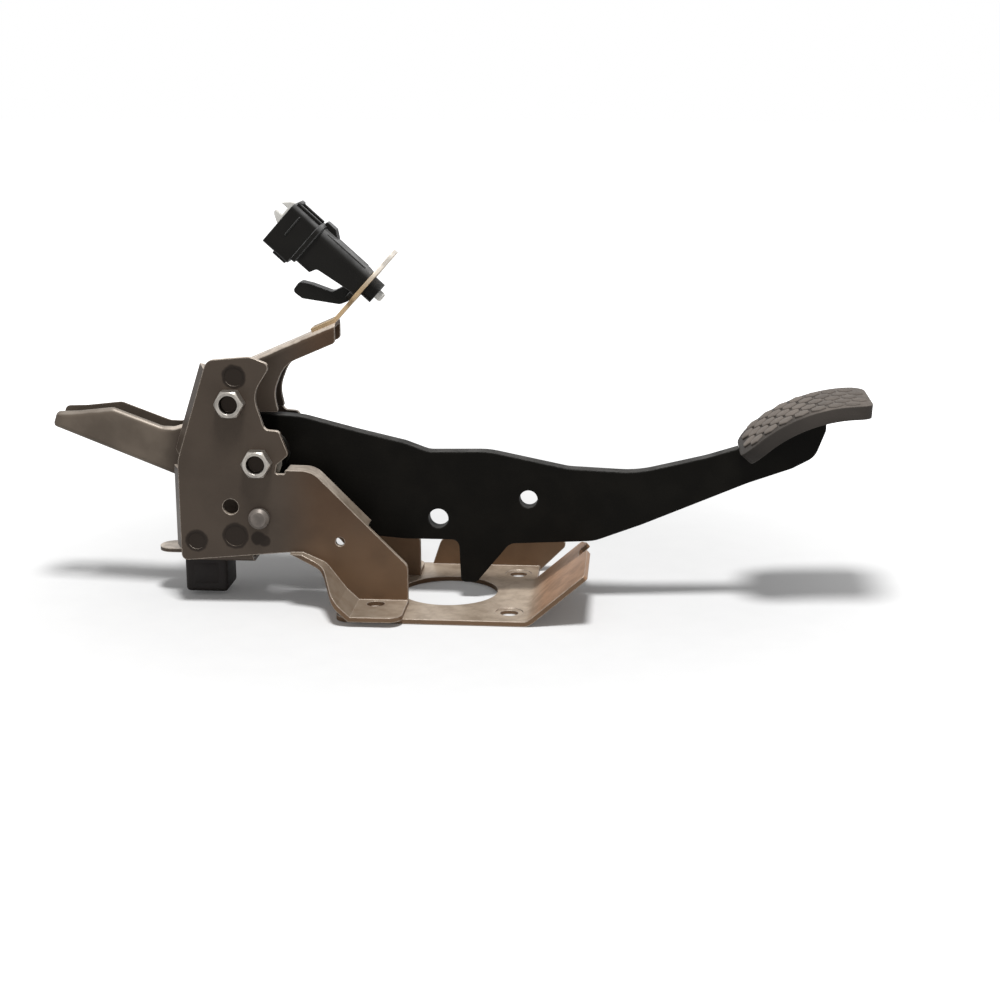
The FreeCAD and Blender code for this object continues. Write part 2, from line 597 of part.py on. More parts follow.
def stop_pin():
    """Shouldered pin between the plates, riveted over at both ends."""
    body = cross_rod(PIVOT_X, STOP_Z, STOP_PIN_DIA, -INNER, INNER)
    neck = cross_rod(PIVOT_X, STOP_Z, STOP_NECK_DIA, -OUTER, OUTER)
    heads = []
    for side in (-1, 1):
        start = V(PIVOT_X, side * OUTER, STOP_Z)
        heads.append(Part.makeCylinder(STOP_HEAD_DIA / 2, STOP_HEAD_HEIGHT * 0.6, start, V(0, side, 0)))
        crown = V(PIVOT_X, side * (OUTER + STOP_HEAD_HEIGHT * 0.6), STOP_Z)
        heads.append(Part.makeCone(STOP_HEAD_DIA / 2, STOP_HEAD_DIA / 2 - 1.6,
                                   STOP_HEAD_HEIGHT * 0.4, crown, V(0, side, 0)))
    return body.fuse([neck] + heads)


def pad_centre():
    """Centre of the arcs that the pad and its plate follow."""
    return V(PIVOT_X + ARM_REACH + PAD_CROWN_DX, 0, PIVOT_Z + PAD_CROWN_DZ - PAD_RADIUS)


def pad_band(r_from, r_to, half, grow):
    """Bent band along the pad: its side section cut to its rounded plan."""
    centre = pad_centre()
    ring = pipe(centre.x, centre.z, 2 * r_to, 2 * r_from, -half, half)
    heel = PAD_TOE_X - PAD_LENGTH - grow
    toe = PAD_TOE_X + grow
    plan = plan_prism([(heel, -half, PAD_HEEL_CORNER), (heel, half, PAD_HEEL_CORNER),
                       (toe, half, PAD_TOE_CORNER), (toe, -half, PAD_TOE_CORNER)],
                      centre.z, centre.z + 2 * PAD_RADIUS)
    lean = math.asin((heel - centre.x) / PAD_RADIUS)
    far = 2 * PAD_RADIUS
    square_heel = side_prism([(centre.x, centre.z, 0),
                              (centre.x + far * math.sin(lean), centre.z + far * math.cos(lean), 0),
                              (centre.x + far, centre.z + far, 0), (centre.x + far, centre.z, 0)],
                             -half, half)
    return ring.common(plan).common(square_heel)


def pad_plate():
    """Bent steel plate welded across the end of the arm."""
    top = PAD_RADIUS - PAD_THICKNESS
    return pad_band(top - PAD_PLATE, top, PAD_WIDTH / 2 - PAD_LIP, -PAD_LIP)


def pedal_pad():
    """Rubber pad stretched over the plate, with staggered hexagonal studs."""
    top = PAD_RADIUS - PAD_THICKNESS
    half = PAD_WIDTH / 2
    pocket = pad_band(top - 2 * PAD_PLATE, top + PAD_FIT, half - PAD_LIP + PAD_FIT, PAD_FIT - PAD_LIP)
    pad = pad_band(top - PAD_PLATE, PAD_RADIUS, half, 0).cut(pocket)
    centre = pad_centre()
    heel = math.asin((PAD_TOE_X - PAD_LENGTH - centre.x) / PAD_RADIUS)
    toe = math.asin((PAD_TOE_X - centre.x) / PAD_RADIUS)
    margin = STUD_FLATS * 0.95 / PAD_RADIUS
    count = int((toe - heel - 2 * margin) * PAD_RADIUS / STUD_PITCH) + 1
    first = (heel + toe) / 2 - (count - 1) * STUD_PITCH / PAD_RADIUS / 2
    studs = []
    for column in range(count):
        turn = first + column * STUD_PITCH / PAD_RADIUS
        edge = column in (0, count - 1)
        odd = column % 2 == 1
        rows = 3 if odd and not edge else 2
        for row in range(rows):
            y = (row - (rows - 1) / 2) * STUD_ROW_PITCH
            studs.append(stud(centre, turn, y))
    return pad.fuse(studs)


def stud(centre, turn, y):
    """One hexagonal stud, long across the pad, standing square to its crown."""
    reach = STUD_FLATS / math.sqrt(3)
    points = []
    for step in range(6):
        angle = math.radians(60 * step + 30)
        points.append((reach * math.cos(angle), reach * STUD_STRETCH * math.sin(angle), 0))
    block = plan_prism(points, PAD_RADIUS - 1.0, PAD_RADIUS + STUD_HEIGHT)
    block.Placement = FreeCAD.Placement(
        V(centre.x, y, centre.z), FreeCAD.Rotation(V(0, 1, 0), math.degrees(turn)))
    return block


def pedal_arm():
    """Thick plate arm: hub, clevis hole, stop lug towards the firewall and the pad's end."""
    stop_face = STOP_PIN_DIA / 2 + STOP_GAP
    drop = -math.sqrt(HUB_RADIUS ** 2 - stop_face ** 2)
    end = ARM_REACH
    top = ARM_TOP + [(end + dx, PAD_CROWN_DZ + dz, r) for dx, dz, r in ARM_SEAT]
    pad_end = [(end + dx, dz, r) for dx, dz, r in ARM_END]
    stop_lug = [(stop_face + dx, dz, r) for dx, dz, r in ARM_STOP]
    low = pad_end + ARM_LOW + stop_lug + [(stop_face, drop, 0)]
    corners = [(PIVOT_X + dx, PIVOT_Z + dz, r) for dx, dz, r in low]
    hub_top = math.radians(80)
    start = (PIVOT_X + HUB_RADIUS * math.cos(hub_top), PIVOT_Z + HUB_RADIUS * math.sin(hub_top), 0)
    centre_fill = (PIVOT_X, PIVOT_Z, 0)
    upper = [(PIVOT_X + dx, PIVOT_Z + dz, r) for dx, dz, r in top]
    blade = side_prism([centre_fill, start] + upper + corners, -HALF_ARM, HALF_ARM)
    hub = cross_rod(PIVOT_X, PIVOT_Z, 2 * HUB_RADIUS, -HALF_ARM, HALF_ARM)
    seat = pad_band(PAD_RADIUS - PAD_THICKNESS - PAD_PLATE, PAD_RADIUS * 1.5, PAD_WIDTH, PAD_FIT)
    bore = cross_rod(PIVOT_X, PIVOT_Z, TUBE_DIA, -HALF_ARM, HALF_ARM)
    holes = [bore, seat,
             cross_rod(PIVOT_X + CLEVIS_DX, PIVOT_Z + CLEVIS_DZ, CLEVIS_HOLE_DIA, -HALF_ARM, HALF_ARM),
             cross_rod(PIVOT_X + SPARE_ARM_HOLE_DX, PIVOT_Z + SPARE_ARM_HOLE_DZ, SPARE_ARM_HOLE_DIA,
                       -HALF_ARM, HALF_ARM)]
    return blade.fuse(hub).removeSplitter().cut(holes)


def pivot_bush(side):
    """Flanged bush pressed into one end of the pivot tube."""
    inside = SLEEVE_DIA + 2 * RUNNING
    outer = side * (INNER - SIDE_PLAY)
    shoulder = side * TUBE_HALF
    deep = side * (TUBE_HALF - BUSH_LENGTH)
    flange = pipe(PIVOT_X, PIVOT_Z, BUSH_FLANGE_DIA, inside, min(outer, shoulder), max(outer, shoulder))
    liner = pipe(PIVOT_X, PIVOT_Z, BUSH_DIA, inside, min(shoulder, deep), max(shoulder, deep))
    return flange.fuse(liner)


def placed(shape):
    """Put a switch piece, made along its own axis, in its place on the tab."""
    shape.Placement = SWITCH_PLACE
    return shape


def switch_body():
    """Moulded switch: nose through the tab, barrel with ribs and the stepped block."""
    bore = PLUNGER_DIA / 2 + PLUNGER_FIT
    nose = Part.makeCylinder(NOSE_DIA / 2, NOSE_LENGTH, V(0, 0, -NOSE_LENGTH))
    shoulder = BARREL_LENGTH
    top = shoulder + BLOCK_LENGTH
    section = plan_prism([(BLOCK_LOW, -BARREL_DEPTH / 2, 3), (BLOCK_HIGH, -BARREL_DEPTH / 2, 4.5),
                          (BLOCK_HIGH, BARREL_DEPTH / 2, 4.5), (BLOCK_LOW, BARREL_DEPTH / 2, 3)], 0, top)
    profile = side_prism([(BLOCK_HIGH - 1.0, 0, 1), (BLOCK_HIGH, 4.0, 0), (BLOCK_HIGH, top, 0),
                          (BLOCK_LOW, top, 0), (BLOCK_LOW, shoulder + 2.0, 1.5),
                          (BARREL_LOW - BARREL_TAPER, shoulder, 2), (BARREL_LOW, 0, 1)],
                         -BARREL_DEPTH, BARREL_DEPTH)
    half = BLOCK_DEPTH / 2
    band = plan_prism([(BLOCK_LOW - RIDGE, -half, 2), (BLOCK_HIGH + RIDGE, -half, 4.5),
                       (BLOCK_HIGH + RIDGE, half, 4.5), (BLOCK_LOW - RIDGE, half, 2)], top - 2.5, top)
    catch = side_prism([(BLOCK_HIGH - 2, shoulder + 2.0, 0), (BLOCK_HIGH, shoulder + 2.0, 0),
                        (BLOCK_HIGH + LATCH_RISE, shoulder + 6.0, 1.5),
                        (BLOCK_HIGH + LATCH_RISE, top - 1.0, 1),
                        (BLOCK_HIGH - 2, top - 1.0, 0)], 1.0, half - 2.5)
    body = nose.fuse([section.common(profile), band, catch])
    guide = Part.makeCylinder(bore, NOSE_LENGTH + PLUNGER_BORE, V(0, 0, -NOSE_LENGTH))
    return placed(body.cut(guide))


def switch_cap():
    """Connector shroud, open at its end."""
    low = BARREL_LENGTH + BLOCK_LENGTH
    mouth = low + CAP_LENGTH
    half = CAP_DEPTH / 2
    outer = plan_prism([(CAP_LOW, -half, 2.5), (BLOCK_HIGH, -half, 2.5),
                        (BLOCK_HIGH, half, 2.5), (CAP_LOW, half, 2.5)], low, mouth)
    inner_half = half - CAP_WALL
    inner_low = CAP_LOW + CAP_WALL
    inner_high = BLOCK_HIGH - CAP_WALL
    hollow = plan_prism([(inner_low, -inner_half, 1), (inner_high, -inner_half, 1),
                         (inner_high, inner_half, 1), (inner_low, inner_half, 1)],
                        mouth - SOCKET_DEPTH, mouth)
    return placed(outer.cut(hollow))


def switch_terminals():
    """Four blades standing in the socket."""
    floor = BARREL_LENGTH + BLOCK_LENGTH + CAP_LENGTH - SOCKET_DEPTH
    blades = []
    for x in (BLADE_LOW_X, BLADE_LOW_X + BLADE_PITCH):
        for y in (-BLADE_ROW, BLADE_ROW):
            blades.append(span_box(x, x + BLADE_THICKNESS, y - BLADE_WIDTH / 2, y + BLADE_WIDTH / 2,
                                   floor, floor + BLADE_LENGTH))
    return placed(Part.makeCompound(blades))


def switch_lock():
    """Locking lever that lies under the barrel, against the tab."""
    foot = NOSE_FIT
    seat = BARREL_LOW - BARREL_TAPER - NOSE_FIT
    lever = side_prism([(BARREL_LOW + 2.0, foot, 0), (BARREL_LOW + 2.0, foot + LOCK_HEIGHT, 0),
                        (seat - 4.0, foot + LOCK_HEIGHT + 4.0, 3),
                        (-LOCK_REACH + 9.0, foot + LOCK_HEIGHT + 14.0, 3),
                        (-LOCK_REACH + 6.0, foot + LOCK_HEIGHT + 19.5, 2),
                        (-LOCK_REACH, foot + LOCK_HEIGHT + 19.0, 2),
                        (-LOCK_REACH + 0.5, foot + LOCK_HEIGHT + 13.0, 2),
                        (seat - 6.0, foot + 2.0, 4), (seat - 2.0, foot, 2)],
                       -LOCK_WIDTH / 2, LOCK_WIDTH / 2)
    plate = plan_prism([(seat - 1.0, -LOCK_WIDTH, 3), (BARREL_LOW + 3.0, -LOCK_WIDTH, 0),
                        (BARREL_LOW + 3.0, LOCK_WIDTH, 0), (seat - 1.0, LOCK_WIDTH, 3)],
                       foot, foot + 2.4)
    core = side_prism([(BLOCK_HIGH, -1, 0), (BLOCK_HIGH, BARREL_LENGTH, 0),
                       (seat, BARREL_LENGTH, 0), (BARREL_LOW - NOSE_FIT, -1, 0)],
                      -BARREL_DEPTH, BARREL_DEPTH)
    return placed(lever.fuse(plate).cut(core))


def connector_lock():
    """Pale insert that stands in the far half of the socket."""
    floor = BARREL_LENGTH + BLOCK_LENGTH + CAP_LENGTH - SOCKET_DEPTH
    high = BLOCK_HIGH - CAP_WALL
    far = CAP_DEPTH / 2 - CAP_WALL - INSERT_ROOM
    tip = floor + SOCKET_DEPTH + INSERT_PROUD
    slab = side_prism([(INSERT_LOW, floor, 0), (high, floor, 0), (high, tip - 4.0, 2),
                       (high - 4.0, tip, 2), (INSERT_LOW + 3.0, tip, 2), (INSERT_LOW, tip - 5.0, 2)],
                      INSERT_NEAR, far)
    slot = span_box(INSERT_LOW + 4.5, high - 4.0, INSERT_NEAR, far, tip - 4.0, tip)
    return placed(slab.cut(slot))


def switch_plunger():
    """Plunger with a domed end, sliding in the nose."""
    radius = PLUNGER_DIA / 2
    tip = -NOSE_LENGTH - PLUNGER_PROUD
    shank = Part.makeCylinder(radius, PLUNGER_PROUD + PLUNGER_SHANK - 1.0, V(0, 0, tip + 1.0))
    dome = Part.makeCone(radius - 0.8, radius, 1.0, V(0, 0, tip))
    return placed(shank.fuse(dome))


def build():
    """All pieces by node name."""
    left = side_plate(LEFT_CROWN, LEFT_FOOT_REACH)
    right = mirrored(side_plate(RIGHT_CROWN, RIGHT_FOOT_REACH))
    inside = BOLT_DIA + 2 * BOLT_FIT
    return {
        "base_plate": base_plate(),
        "left_side_plate": left,
        "right_side_plate": right,
        "cross_web": cross_web(),
        "column_brace": column_brace(),
        "switch_bracket": switch_bracket(),
        "switch_tab": switch_tab(),
        "buffer_plate": buffer_plate(),
        "rubber_buffer": rubber_buffer(),
        "pivot_bolt": hex_bolt(PIVOT_X, PIVOT_Z),
        "pivot_nut": hex_nut(PIVOT_X, PIVOT_Z),
        "pivot_sleeve": pipe(PIVOT_X, PIVOT_Z, SLEEVE_DIA, inside, -INNER, INNER),
        "clamp_bolt": hex_bolt(CLAMP_X, CLAMP_Z),
        "clamp_nut": hex_nut(CLAMP_X, CLAMP_Z),
        "clamp_spacers": clamp_spacers(),
        "stop_pin": stop_pin(),
        "pedal_arm": pedal_arm(),
        "pivot_tube": pipe(PIVOT_X, PIVOT_Z, TUBE_DIA, BUSH_DIA, -TUBE_HALF, TUBE_HALF),
        "left_bush": pivot_bush(-1),
        "right_bush": pivot_bush(1),
        "pad_plate": pad_plate(),
        "pedal_pad": pedal_pad(),
        "switch_body": switch_body(),
        "switch_cap": switch_cap(),
        "switch_terminals": switch_terminals(),
        "switch_lock": switch_lock(),
        "connector_lock": connector_lock(),
        "switch_plunger": switch_plunger(),
    }


def main():
    os.makedirs("parts", exist_ok=True)
    for name, shape in build().items():
        shape.exportStep("parts/" + name + ".step")
        print(name, len(shape.Solids), round(shape.Volume, 1), shape.isValid())


if __name__ == "__main__":
    main()
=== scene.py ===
"""Hanging brake pedal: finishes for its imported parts, its rubber pieces, welds and trim."""
import math

import bmesh
import bpy
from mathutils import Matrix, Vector


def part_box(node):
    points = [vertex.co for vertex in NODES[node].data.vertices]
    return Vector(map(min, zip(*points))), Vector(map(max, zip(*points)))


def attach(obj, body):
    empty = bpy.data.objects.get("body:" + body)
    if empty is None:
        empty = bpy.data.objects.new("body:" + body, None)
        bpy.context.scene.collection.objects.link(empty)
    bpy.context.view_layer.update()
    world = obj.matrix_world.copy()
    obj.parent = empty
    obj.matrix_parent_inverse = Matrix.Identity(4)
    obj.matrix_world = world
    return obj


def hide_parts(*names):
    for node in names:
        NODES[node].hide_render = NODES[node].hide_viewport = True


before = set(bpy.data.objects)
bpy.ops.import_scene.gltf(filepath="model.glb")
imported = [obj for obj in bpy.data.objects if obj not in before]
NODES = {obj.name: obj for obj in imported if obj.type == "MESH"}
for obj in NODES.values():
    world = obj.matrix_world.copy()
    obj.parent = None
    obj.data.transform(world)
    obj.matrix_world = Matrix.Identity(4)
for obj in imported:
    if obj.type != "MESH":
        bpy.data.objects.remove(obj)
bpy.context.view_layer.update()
MM = 0.001
MERGE = 0.005 * MM  # points nearer than this are one
NEAR = 0.01 * MM    # places nearer than this are the same

bl_info = {
    "name": "Brake Pedal Assembly",
    "version": (1, 0, 0),
    "blender": (4, 5, 0),
    "location": "3D View > Sidebar > Pedal",
    "description": "Dresses a hanging brake pedal with its bracket and stop-lamp switch",
    "category": "Object",
}


def length(name, description, default):
    """A size in metres that a user may change."""
    return bpy.props.FloatProperty(name=name, description=description, default=default,
                                   min=0.0, unit="LENGTH", precision=5)


def colour(name, description, default):
    """A colour that a user may change."""
    return bpy.props.FloatVectorProperty(name=name, description=description, default=default,
                                         size=3, min=0.0, max=1.0, subtype="COLOR")


def point(name, description, default):
    """A place that a user may change."""
    return bpy.props.FloatVectorProperty(name=name, description=description, default=default,
                                         subtype="XYZ", unit="LENGTH")


class PadSizes(bpy.types.PropertyGroup):
    """Sizes of the rubber pad."""
    radius: length("Crown radius", "Radius of the pad along its length", 77.5 * MM)
    crown_x: length("Crown position", "Highest line of the pad along the pedal", 205 * MM)
    crown_z: length("Crown height", "Highest line of the pad above the firewall", 107.7 * MM)
    heel: length("Heel reach", "Crown to the heel along the rubber", 67.0 * MM)
    toe: length("Toe reach", "Crown to the toe along the rubber", 4.0 * MM)
    width: length("Width", "Width across the pad", 50 * MM)
    thickness: length("Thickness", "Rubber over the plate", 4.2 * MM)
    skirt: length("Skirt", "Rubber down the plate's edge", 2.5 * MM)
    lip: length("Lip", "Rubber outside the plate's edge", 2.5 * MM)
    heel_corner: length("Heel corners", "Corner radius at the heel", 16 * MM)
    toe_corner: length("Toe corners", "Corner radius at the toe", 11 * MM)
    stud_length: length("Stud length", "Stud size along the pad", 7.3 * MM)
    stud_pitch: length("Stud pitch", "Distance of studs in a row", 8.3 * MM)
    row_pitch: length("Row pitch", "Distance of stud rows", 8.7 * MM)
    stud_height: length("Stud height", "Studs above the rubber", 1.2 * MM)
    stud_depth: length("Stud depth", "A stud together with its root in the rubber", 3.0 * MM)
    stud_edge: length("Stud edge", "Rounding of a stud's edges", 0.7 * MM)
    rim: length("Rim", "Plain rubber outside the studs", 1.5 * MM)
    edge: length("Edge", "Rounding of the pad's edges", 1.3 * MM)


class TrimSizes(bpy.types.PropertyGroup):
    """Sizes of welds, threads and trim."""
    bead: length("Weld bead", "Radius of a weld bead", 1.7 * MM)
    brace_weld: length("Brace weld", "Length of a weld at the brace's root", 28.0 * MM)
    thread_radius: length("Thread radius", "Outside radius of the bolt threads", 4.1 * MM)
    thread_pitch: length("Thread pitch", "Pitch of the bolt threads", 1.0 * MM)
    thread_ridge: length("Thread ridge", "Radius of a thread's rounded ridge", 0.42 * MM)
    thread_sink: length("Thread sink", "Middle of the ridge inside the thread radius", 0.25 * MM)
    rubber_edge: length("Rubber edge", "Rounding of the rubber block", 2.2 * MM)
    buffer_sheet: length("Buffer sheet", "Thickness of the plate that holds the block", 2.0 * MM)
    buffer_stem: length("Buffer stem", "Radius of the block's stem", 4.5 * MM)
    buffer_button: length("Buffer button", "Radius of the button on the stem", 7.0 * MM)
    buffer_margin: length("Buffer margin", "Margin about the recess in the block's faces", 2.4 * MM)
    buffer_recess: length("Buffer recess", "Depth of the recess and width of its groove", 0.5 * MM)
    buffer_rise: length("Buffer rise", "Panel inside the recess above its ground", 0.35 * MM)
    button_edge: length("Button edge", "Rounding of the button", 0.8 * MM)
    rib_edge: length("Rib edge", "Rounding of the switch's ribs", 0.45 * MM)
    switch_lean: bpy.props.FloatProperty(name="Switch lean", description="Lean of the switch from upright",
                                         default=math.radians(48.0), subtype="ANGLE")
    switch_seat: point("Switch seat", "Switch axis at its tab", (-0.040995, 0.0, 0.16140))


class FinishColours(bpy.types.PropertyGroup):
    """Colours of the finishes."""
    steel: colour("Bracket steel", "Oiled bare sheet steel", (0.080, 0.061, 0.047))
    # Painted light: the brace's tone is lightened, partly to offset the shade inside the brace.
    steel_brace_lightened: colour("Clean steel", "Sheet with little oil, at the brace", (0.165, 0.133, 0.104))
    # Painted warm reflection on the wings, orange-brown above and browner low down.
    steel_warm_reflection: colour("Warm steel", "Bronze tint of the oil film", (0.107, 0.056, 0.028))
    steel_low_warm_reflection: colour("Rusty steel", "Browner film low on the wings", (0.25, 0.147, 0.080))
    # Painted top light on upward faces of the sheet, dimmer on the feet; tan on the toe flange as a painted
    # warm reflection; bright edges are worn steel with a painted edge highlight.
    steel_top_highlight: colour("Pale steel", "Sheet where handling has cleared the film", (0.54, 0.44, 0.34))
    steel_edge_and_top_highlight: colour("Bright steel", "Bare edges and upper faces", (0.68, 0.59, 0.50))
    steel_toe_warm_reflection: colour("Tan steel", "Bronze tint on the toe flange", (0.45, 0.262, 0.155))
    # Spot-weld scorch, also used as painted shade in the bolt heads' dishes.
    scorch_and_dish_shade: colour("Scorch", "Tint round spot welds", (0.020, 0.0145, 0.011))
    tab: colour("Tab steel", "Yellow passivated tab", (0.56, 0.395, 0.22))
    tab_worn: colour("Worn tab", "Tab steel rubbed bare", (0.72, 0.67, 0.60))
    zinc: colour("Zinc", "Plated fasteners", (0.50, 0.465, 0.42))
    pin: colour("Pin steel", "Bare turned steel of the stop pin", (0.19, 0.165, 0.145))
    arm: colour("Arm paint", "Satin black paint", (0.0048, 0.0043, 0.0034))
    arm_dust: colour("Arm dust", "Dust on the paint's upper faces", (0.085, 0.080, 0.074))
    arm_worn: colour("Worn paint", "Paint rubbed grey along its edges", (0.110, 0.105, 0.100))
    rubber: colour("Pad rubber", "Worn rubber of the pad", (0.050, 0.042, 0.036))
    rubber_worn: colour("Polished rubber", "Rubber on the stud tops", (0.17, 0.145, 0.125))
    buffer: colour("Buffer rubber", "Black rubber block", (0.016, 0.0125, 0.0115))
    plastic: colour("Switch plastic", "Moulded black plastic", (0.0105, 0.0098, 0.0086))
    pale_plastic: colour("Pale plastic", "Natural plastic of the plunger", (0.82, 0.80, 0.75))
    bush: colour("Bush plastic", "Bearing plastic", (0.19, 0.17, 0.14))
    brass: colour("Terminal brass", "Tinned brass blades", (0.52, 0.40, 0.21))


class StageSettings(bpy.types.PropertyGroup):
    """Floor, light and camera."""
    lens: bpy.props.FloatProperty(name="Lens", description="Focal length in mm", default=63.54, min=1.0,
                                  unit="CAMERA")
    target: point("Target", "Point in the picture's middle", (0.0262, 0.0, 0.0513))
    camera: point("Camera", "Place of the camera", (0.0961, -0.8689, 0.2751))
    key: bpy.props.FloatProperty(name="Key", description="Power of the overhead light", default=14.0, min=0.0,
                                 unit="POWER")
    key_size: length("Key size", "Width of the overhead light", 0.3)
    key_place: point("Key place", "Place of the overhead light", (0.05, -0.42, 1.25))
    key_aim: point("Key aim", "Point that the overhead light looks at", (0.0, 0.0, 0.05))
    sky: bpy.props.FloatProperty(name="Sky", description="Strength of the surrounding light",
                                 default=0.25, min=0.0)
    floor: length("Floor", "Length of the floor's sides", 12.0)
    floor_gap: length("Floor gap", "Gap between the floor and the part", 0.2 * MM)
    paper: colour("Paper", "Pale paper of the floor", (0.90, 0.90, 0.90))
    paper_fibre: colour("Paper fibre", "Darker fibres in the paper", (0.86, 0.86, 0.86))


def deselect():
    """Leaves nothing selected, in object mode."""
    if bpy.context.object and bpy.context.object.mode != "OBJECT":
        bpy.ops.object.mode_set(mode="OBJECT")
    bpy.ops.object.select_all(action="DESELECT")


def take(*pieces):
    """Selects the pieces alone; the first becomes active."""
    deselect()
    for piece in pieces:
        piece.select_set(True)
    bpy.context.view_layer.objects.active = pieces[0]


def edit(mode):
    """Opens the active piece for editing with nothing selected."""
    bpy.ops.object.mode_set(mode="EDIT")
    bpy.ops.mesh.select_mode(type=mode)
    bpy.ops.mesh.select_all(action="DESELECT")


def pick_faces(test):
    """Selects the faces whose centre and normal pass the test."""
    mesh = bmesh.from_edit_mesh(bpy.context.object.data)
    for face in mesh.faces:
        face.select_set(test(face.calc_center_median(), face.normal))
    bmesh.update_edit_mesh(bpy.context.object.data)


def pick_verts(test):
    """Selects the points that pass the test."""
    mesh = bmesh.from_edit_mesh(bpy.context.object.data)
    for vert in mesh.verts:
        vert.select_set(test(vert.co))
    mesh.select_flush_mode()
    bmesh.update_edit_mesh(bpy.context.object.data)


def done():
    """Back to object mode."""
    bpy.ops.object.mode_set(mode="OBJECT")


def modify(piece, kind, **settings):
    """Adds a modifier to the piece and applies it."""
    take(piece)
    modifier = piece.modifiers.new(kind.title(), kind)
    for key, value in settings.items():
        setattr(modifier, key, value)
    bpy.ops.object.modifier_apply(modifier=modifier.name)


def round_edges(piece, width, angle):
    """Rounds the edges that turn by more than the angle, in degrees."""
    modify(piece, "BEVEL", width=width, segments=3, limit_method="ANGLE", angle_limit=math.radians(angle))


def bake_place(piece):
    """Moves the object's place, turn and scale into its mesh."""
    take(piece)
    bpy.ops.object.transform_apply(location=True, rotation=True, scale=True)


def clean(piece, angle):
    """Merges doubles, turns faces outwards and smooths edges that turn by less than the angle."""
    take(piece)
    edit("VERT")
    bpy.ops.mesh.select_all(action="SELECT")
    bpy.ops.mesh.remove_doubles(threshold=MERGE)
    bpy.ops.mesh.normals_make_consistent(inside=False)
    done()
    bpy.ops.object.shade_smooth_by_angle(angle=math.radians(angle))


def copy_of(piece, place):
    """A copy with its own mesh, moved by place."""
    twin = piece.copy()
    twin.data = piece.data.copy()
    bpy.context.collection.objects.link(twin)
    twin.location = piece.location + Vector(place)
    return twin


def join(pieces):
    """Joins the pieces into the first."""
    take(*pieces)
    bpy.ops.object.join()
    return bpy.context.object


def settle(piece, name, body, material):
    """Names the finished piece and ties it to its body, slot and finish."""
    piece.name = name
    piece.data.name = name
    piece.data.materials.clear()
    piece.data.materials.append(material)
    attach(piece, body)
    deselect()


class Graph:
    """Shorthand for building a node tree."""

    def __init__(self, tree):
        self.tree = tree

    def node(self, kind, **settings):
        """Adds a node; settings are attributes."""
        item = self.tree.nodes.new(kind)
        for key, value in settings.items():
            setattr(item, key, value)
        return item

    def feed(self, socket, value):
        """Links a socket, or sets a constant."""
        if isinstance(value, bpy.types.NodeSocket):
            self.tree.links.new(value, socket)
        elif socket.type == "RGBA":
            socket.default_value = tuple(value) + (1.0,)
        else:
            socket.default_value = value

    def math(self, operation, first, second=0.0, clamp=False):
        """One Math node."""
        item = self.node("ShaderNodeMath", operation=operation, use_clamp=clamp)
        self.feed(item.inputs[0], first)
        self.feed(item.inputs[1], second)
        return item.outputs[0]

    def span(self, value, low, high, start=0.0, end=1.0):
        """Smooth step from start to end, as the value goes from low to high."""
        item = self.node("ShaderNodeMapRange", interpolation_type="SMOOTHSTEP")
        for index, part in enumerate((value, low, high, start, end)):
            self.feed(item.inputs[index], part)
        return item.outputs[0]

    def share(self, mask, amount):
        """Part of a mask."""
        return self.math("MULTIPLY", mask, amount)

    def rest(self, mask):
        """What a mask leaves over."""
        return self.math("SUBTRACT", 1.0, mask)

    def mix(self, amount, first, second):
        """Mix of two colours."""
        item = self.node("ShaderNodeMix", data_type="RGBA")
        self.feed(item.inputs[0], amount)
        self.feed(item.inputs[6], first)
        self.feed(item.inputs[7], second)
        return item.outputs[2]

    def noise(self, vector, scale, detail=3.0, roughness=0.55):
        """Noise value."""
        item = self.node("ShaderNodeTexNoise")
        self.feed(item.inputs["Vector"], vector)
        self.feed(item.inputs["Scale"], scale)
        item.inputs["Detail"].default_value = detail
        item.inputs["Roughness"].default_value = roughness
        return item.outputs["Fac"]

    def place(self):
        """Object coordinates."""
        return self.node("ShaderNodeTexCoord").outputs["Object"]

    def axes(self):
        """Object coordinates, axis by axis."""
        item = self.node("ShaderNodeSeparateXYZ")
        self.feed(item.inputs[0], self.place())
        return item.outputs

    def group(self, name, **values):
        """Places a shared effect with its own values."""
        item = self.node("ShaderNodeGroup", node_tree=bpy.data.node_groups[name])
        for key, value in values.items():
            self.feed(item.inputs[key], value)
        return item.outputs

    def spot(self, centre, radius, soft):
        """Mask of a round spot, given in millimetres."""
        return self.group("Round Mark", Centre=[c * MM for c in centre], Radius=radius * MM,
                          Soft=soft * MM)["Mask"]


def new_effect(name, inputs, outputs):
    """An empty node group with named sockets."""
    tree = bpy.data.node_groups.new(name, "ShaderNodeTree")
    for label, kind, default in inputs:
        socket = tree.interface.new_socket(name=label, in_out="INPUT", socket_type="NodeSocket" + kind)
        socket.default_value = default
    for label, kind in outputs:
        tree.interface.new_socket(name=label, in_out="OUTPUT", socket_type="NodeSocket" + kind)
    graph = Graph(tree)
    start = graph.node("NodeGroupInput")
    end = graph.node("NodeGroupOutput")
    return graph, start.outputs, end.inputs


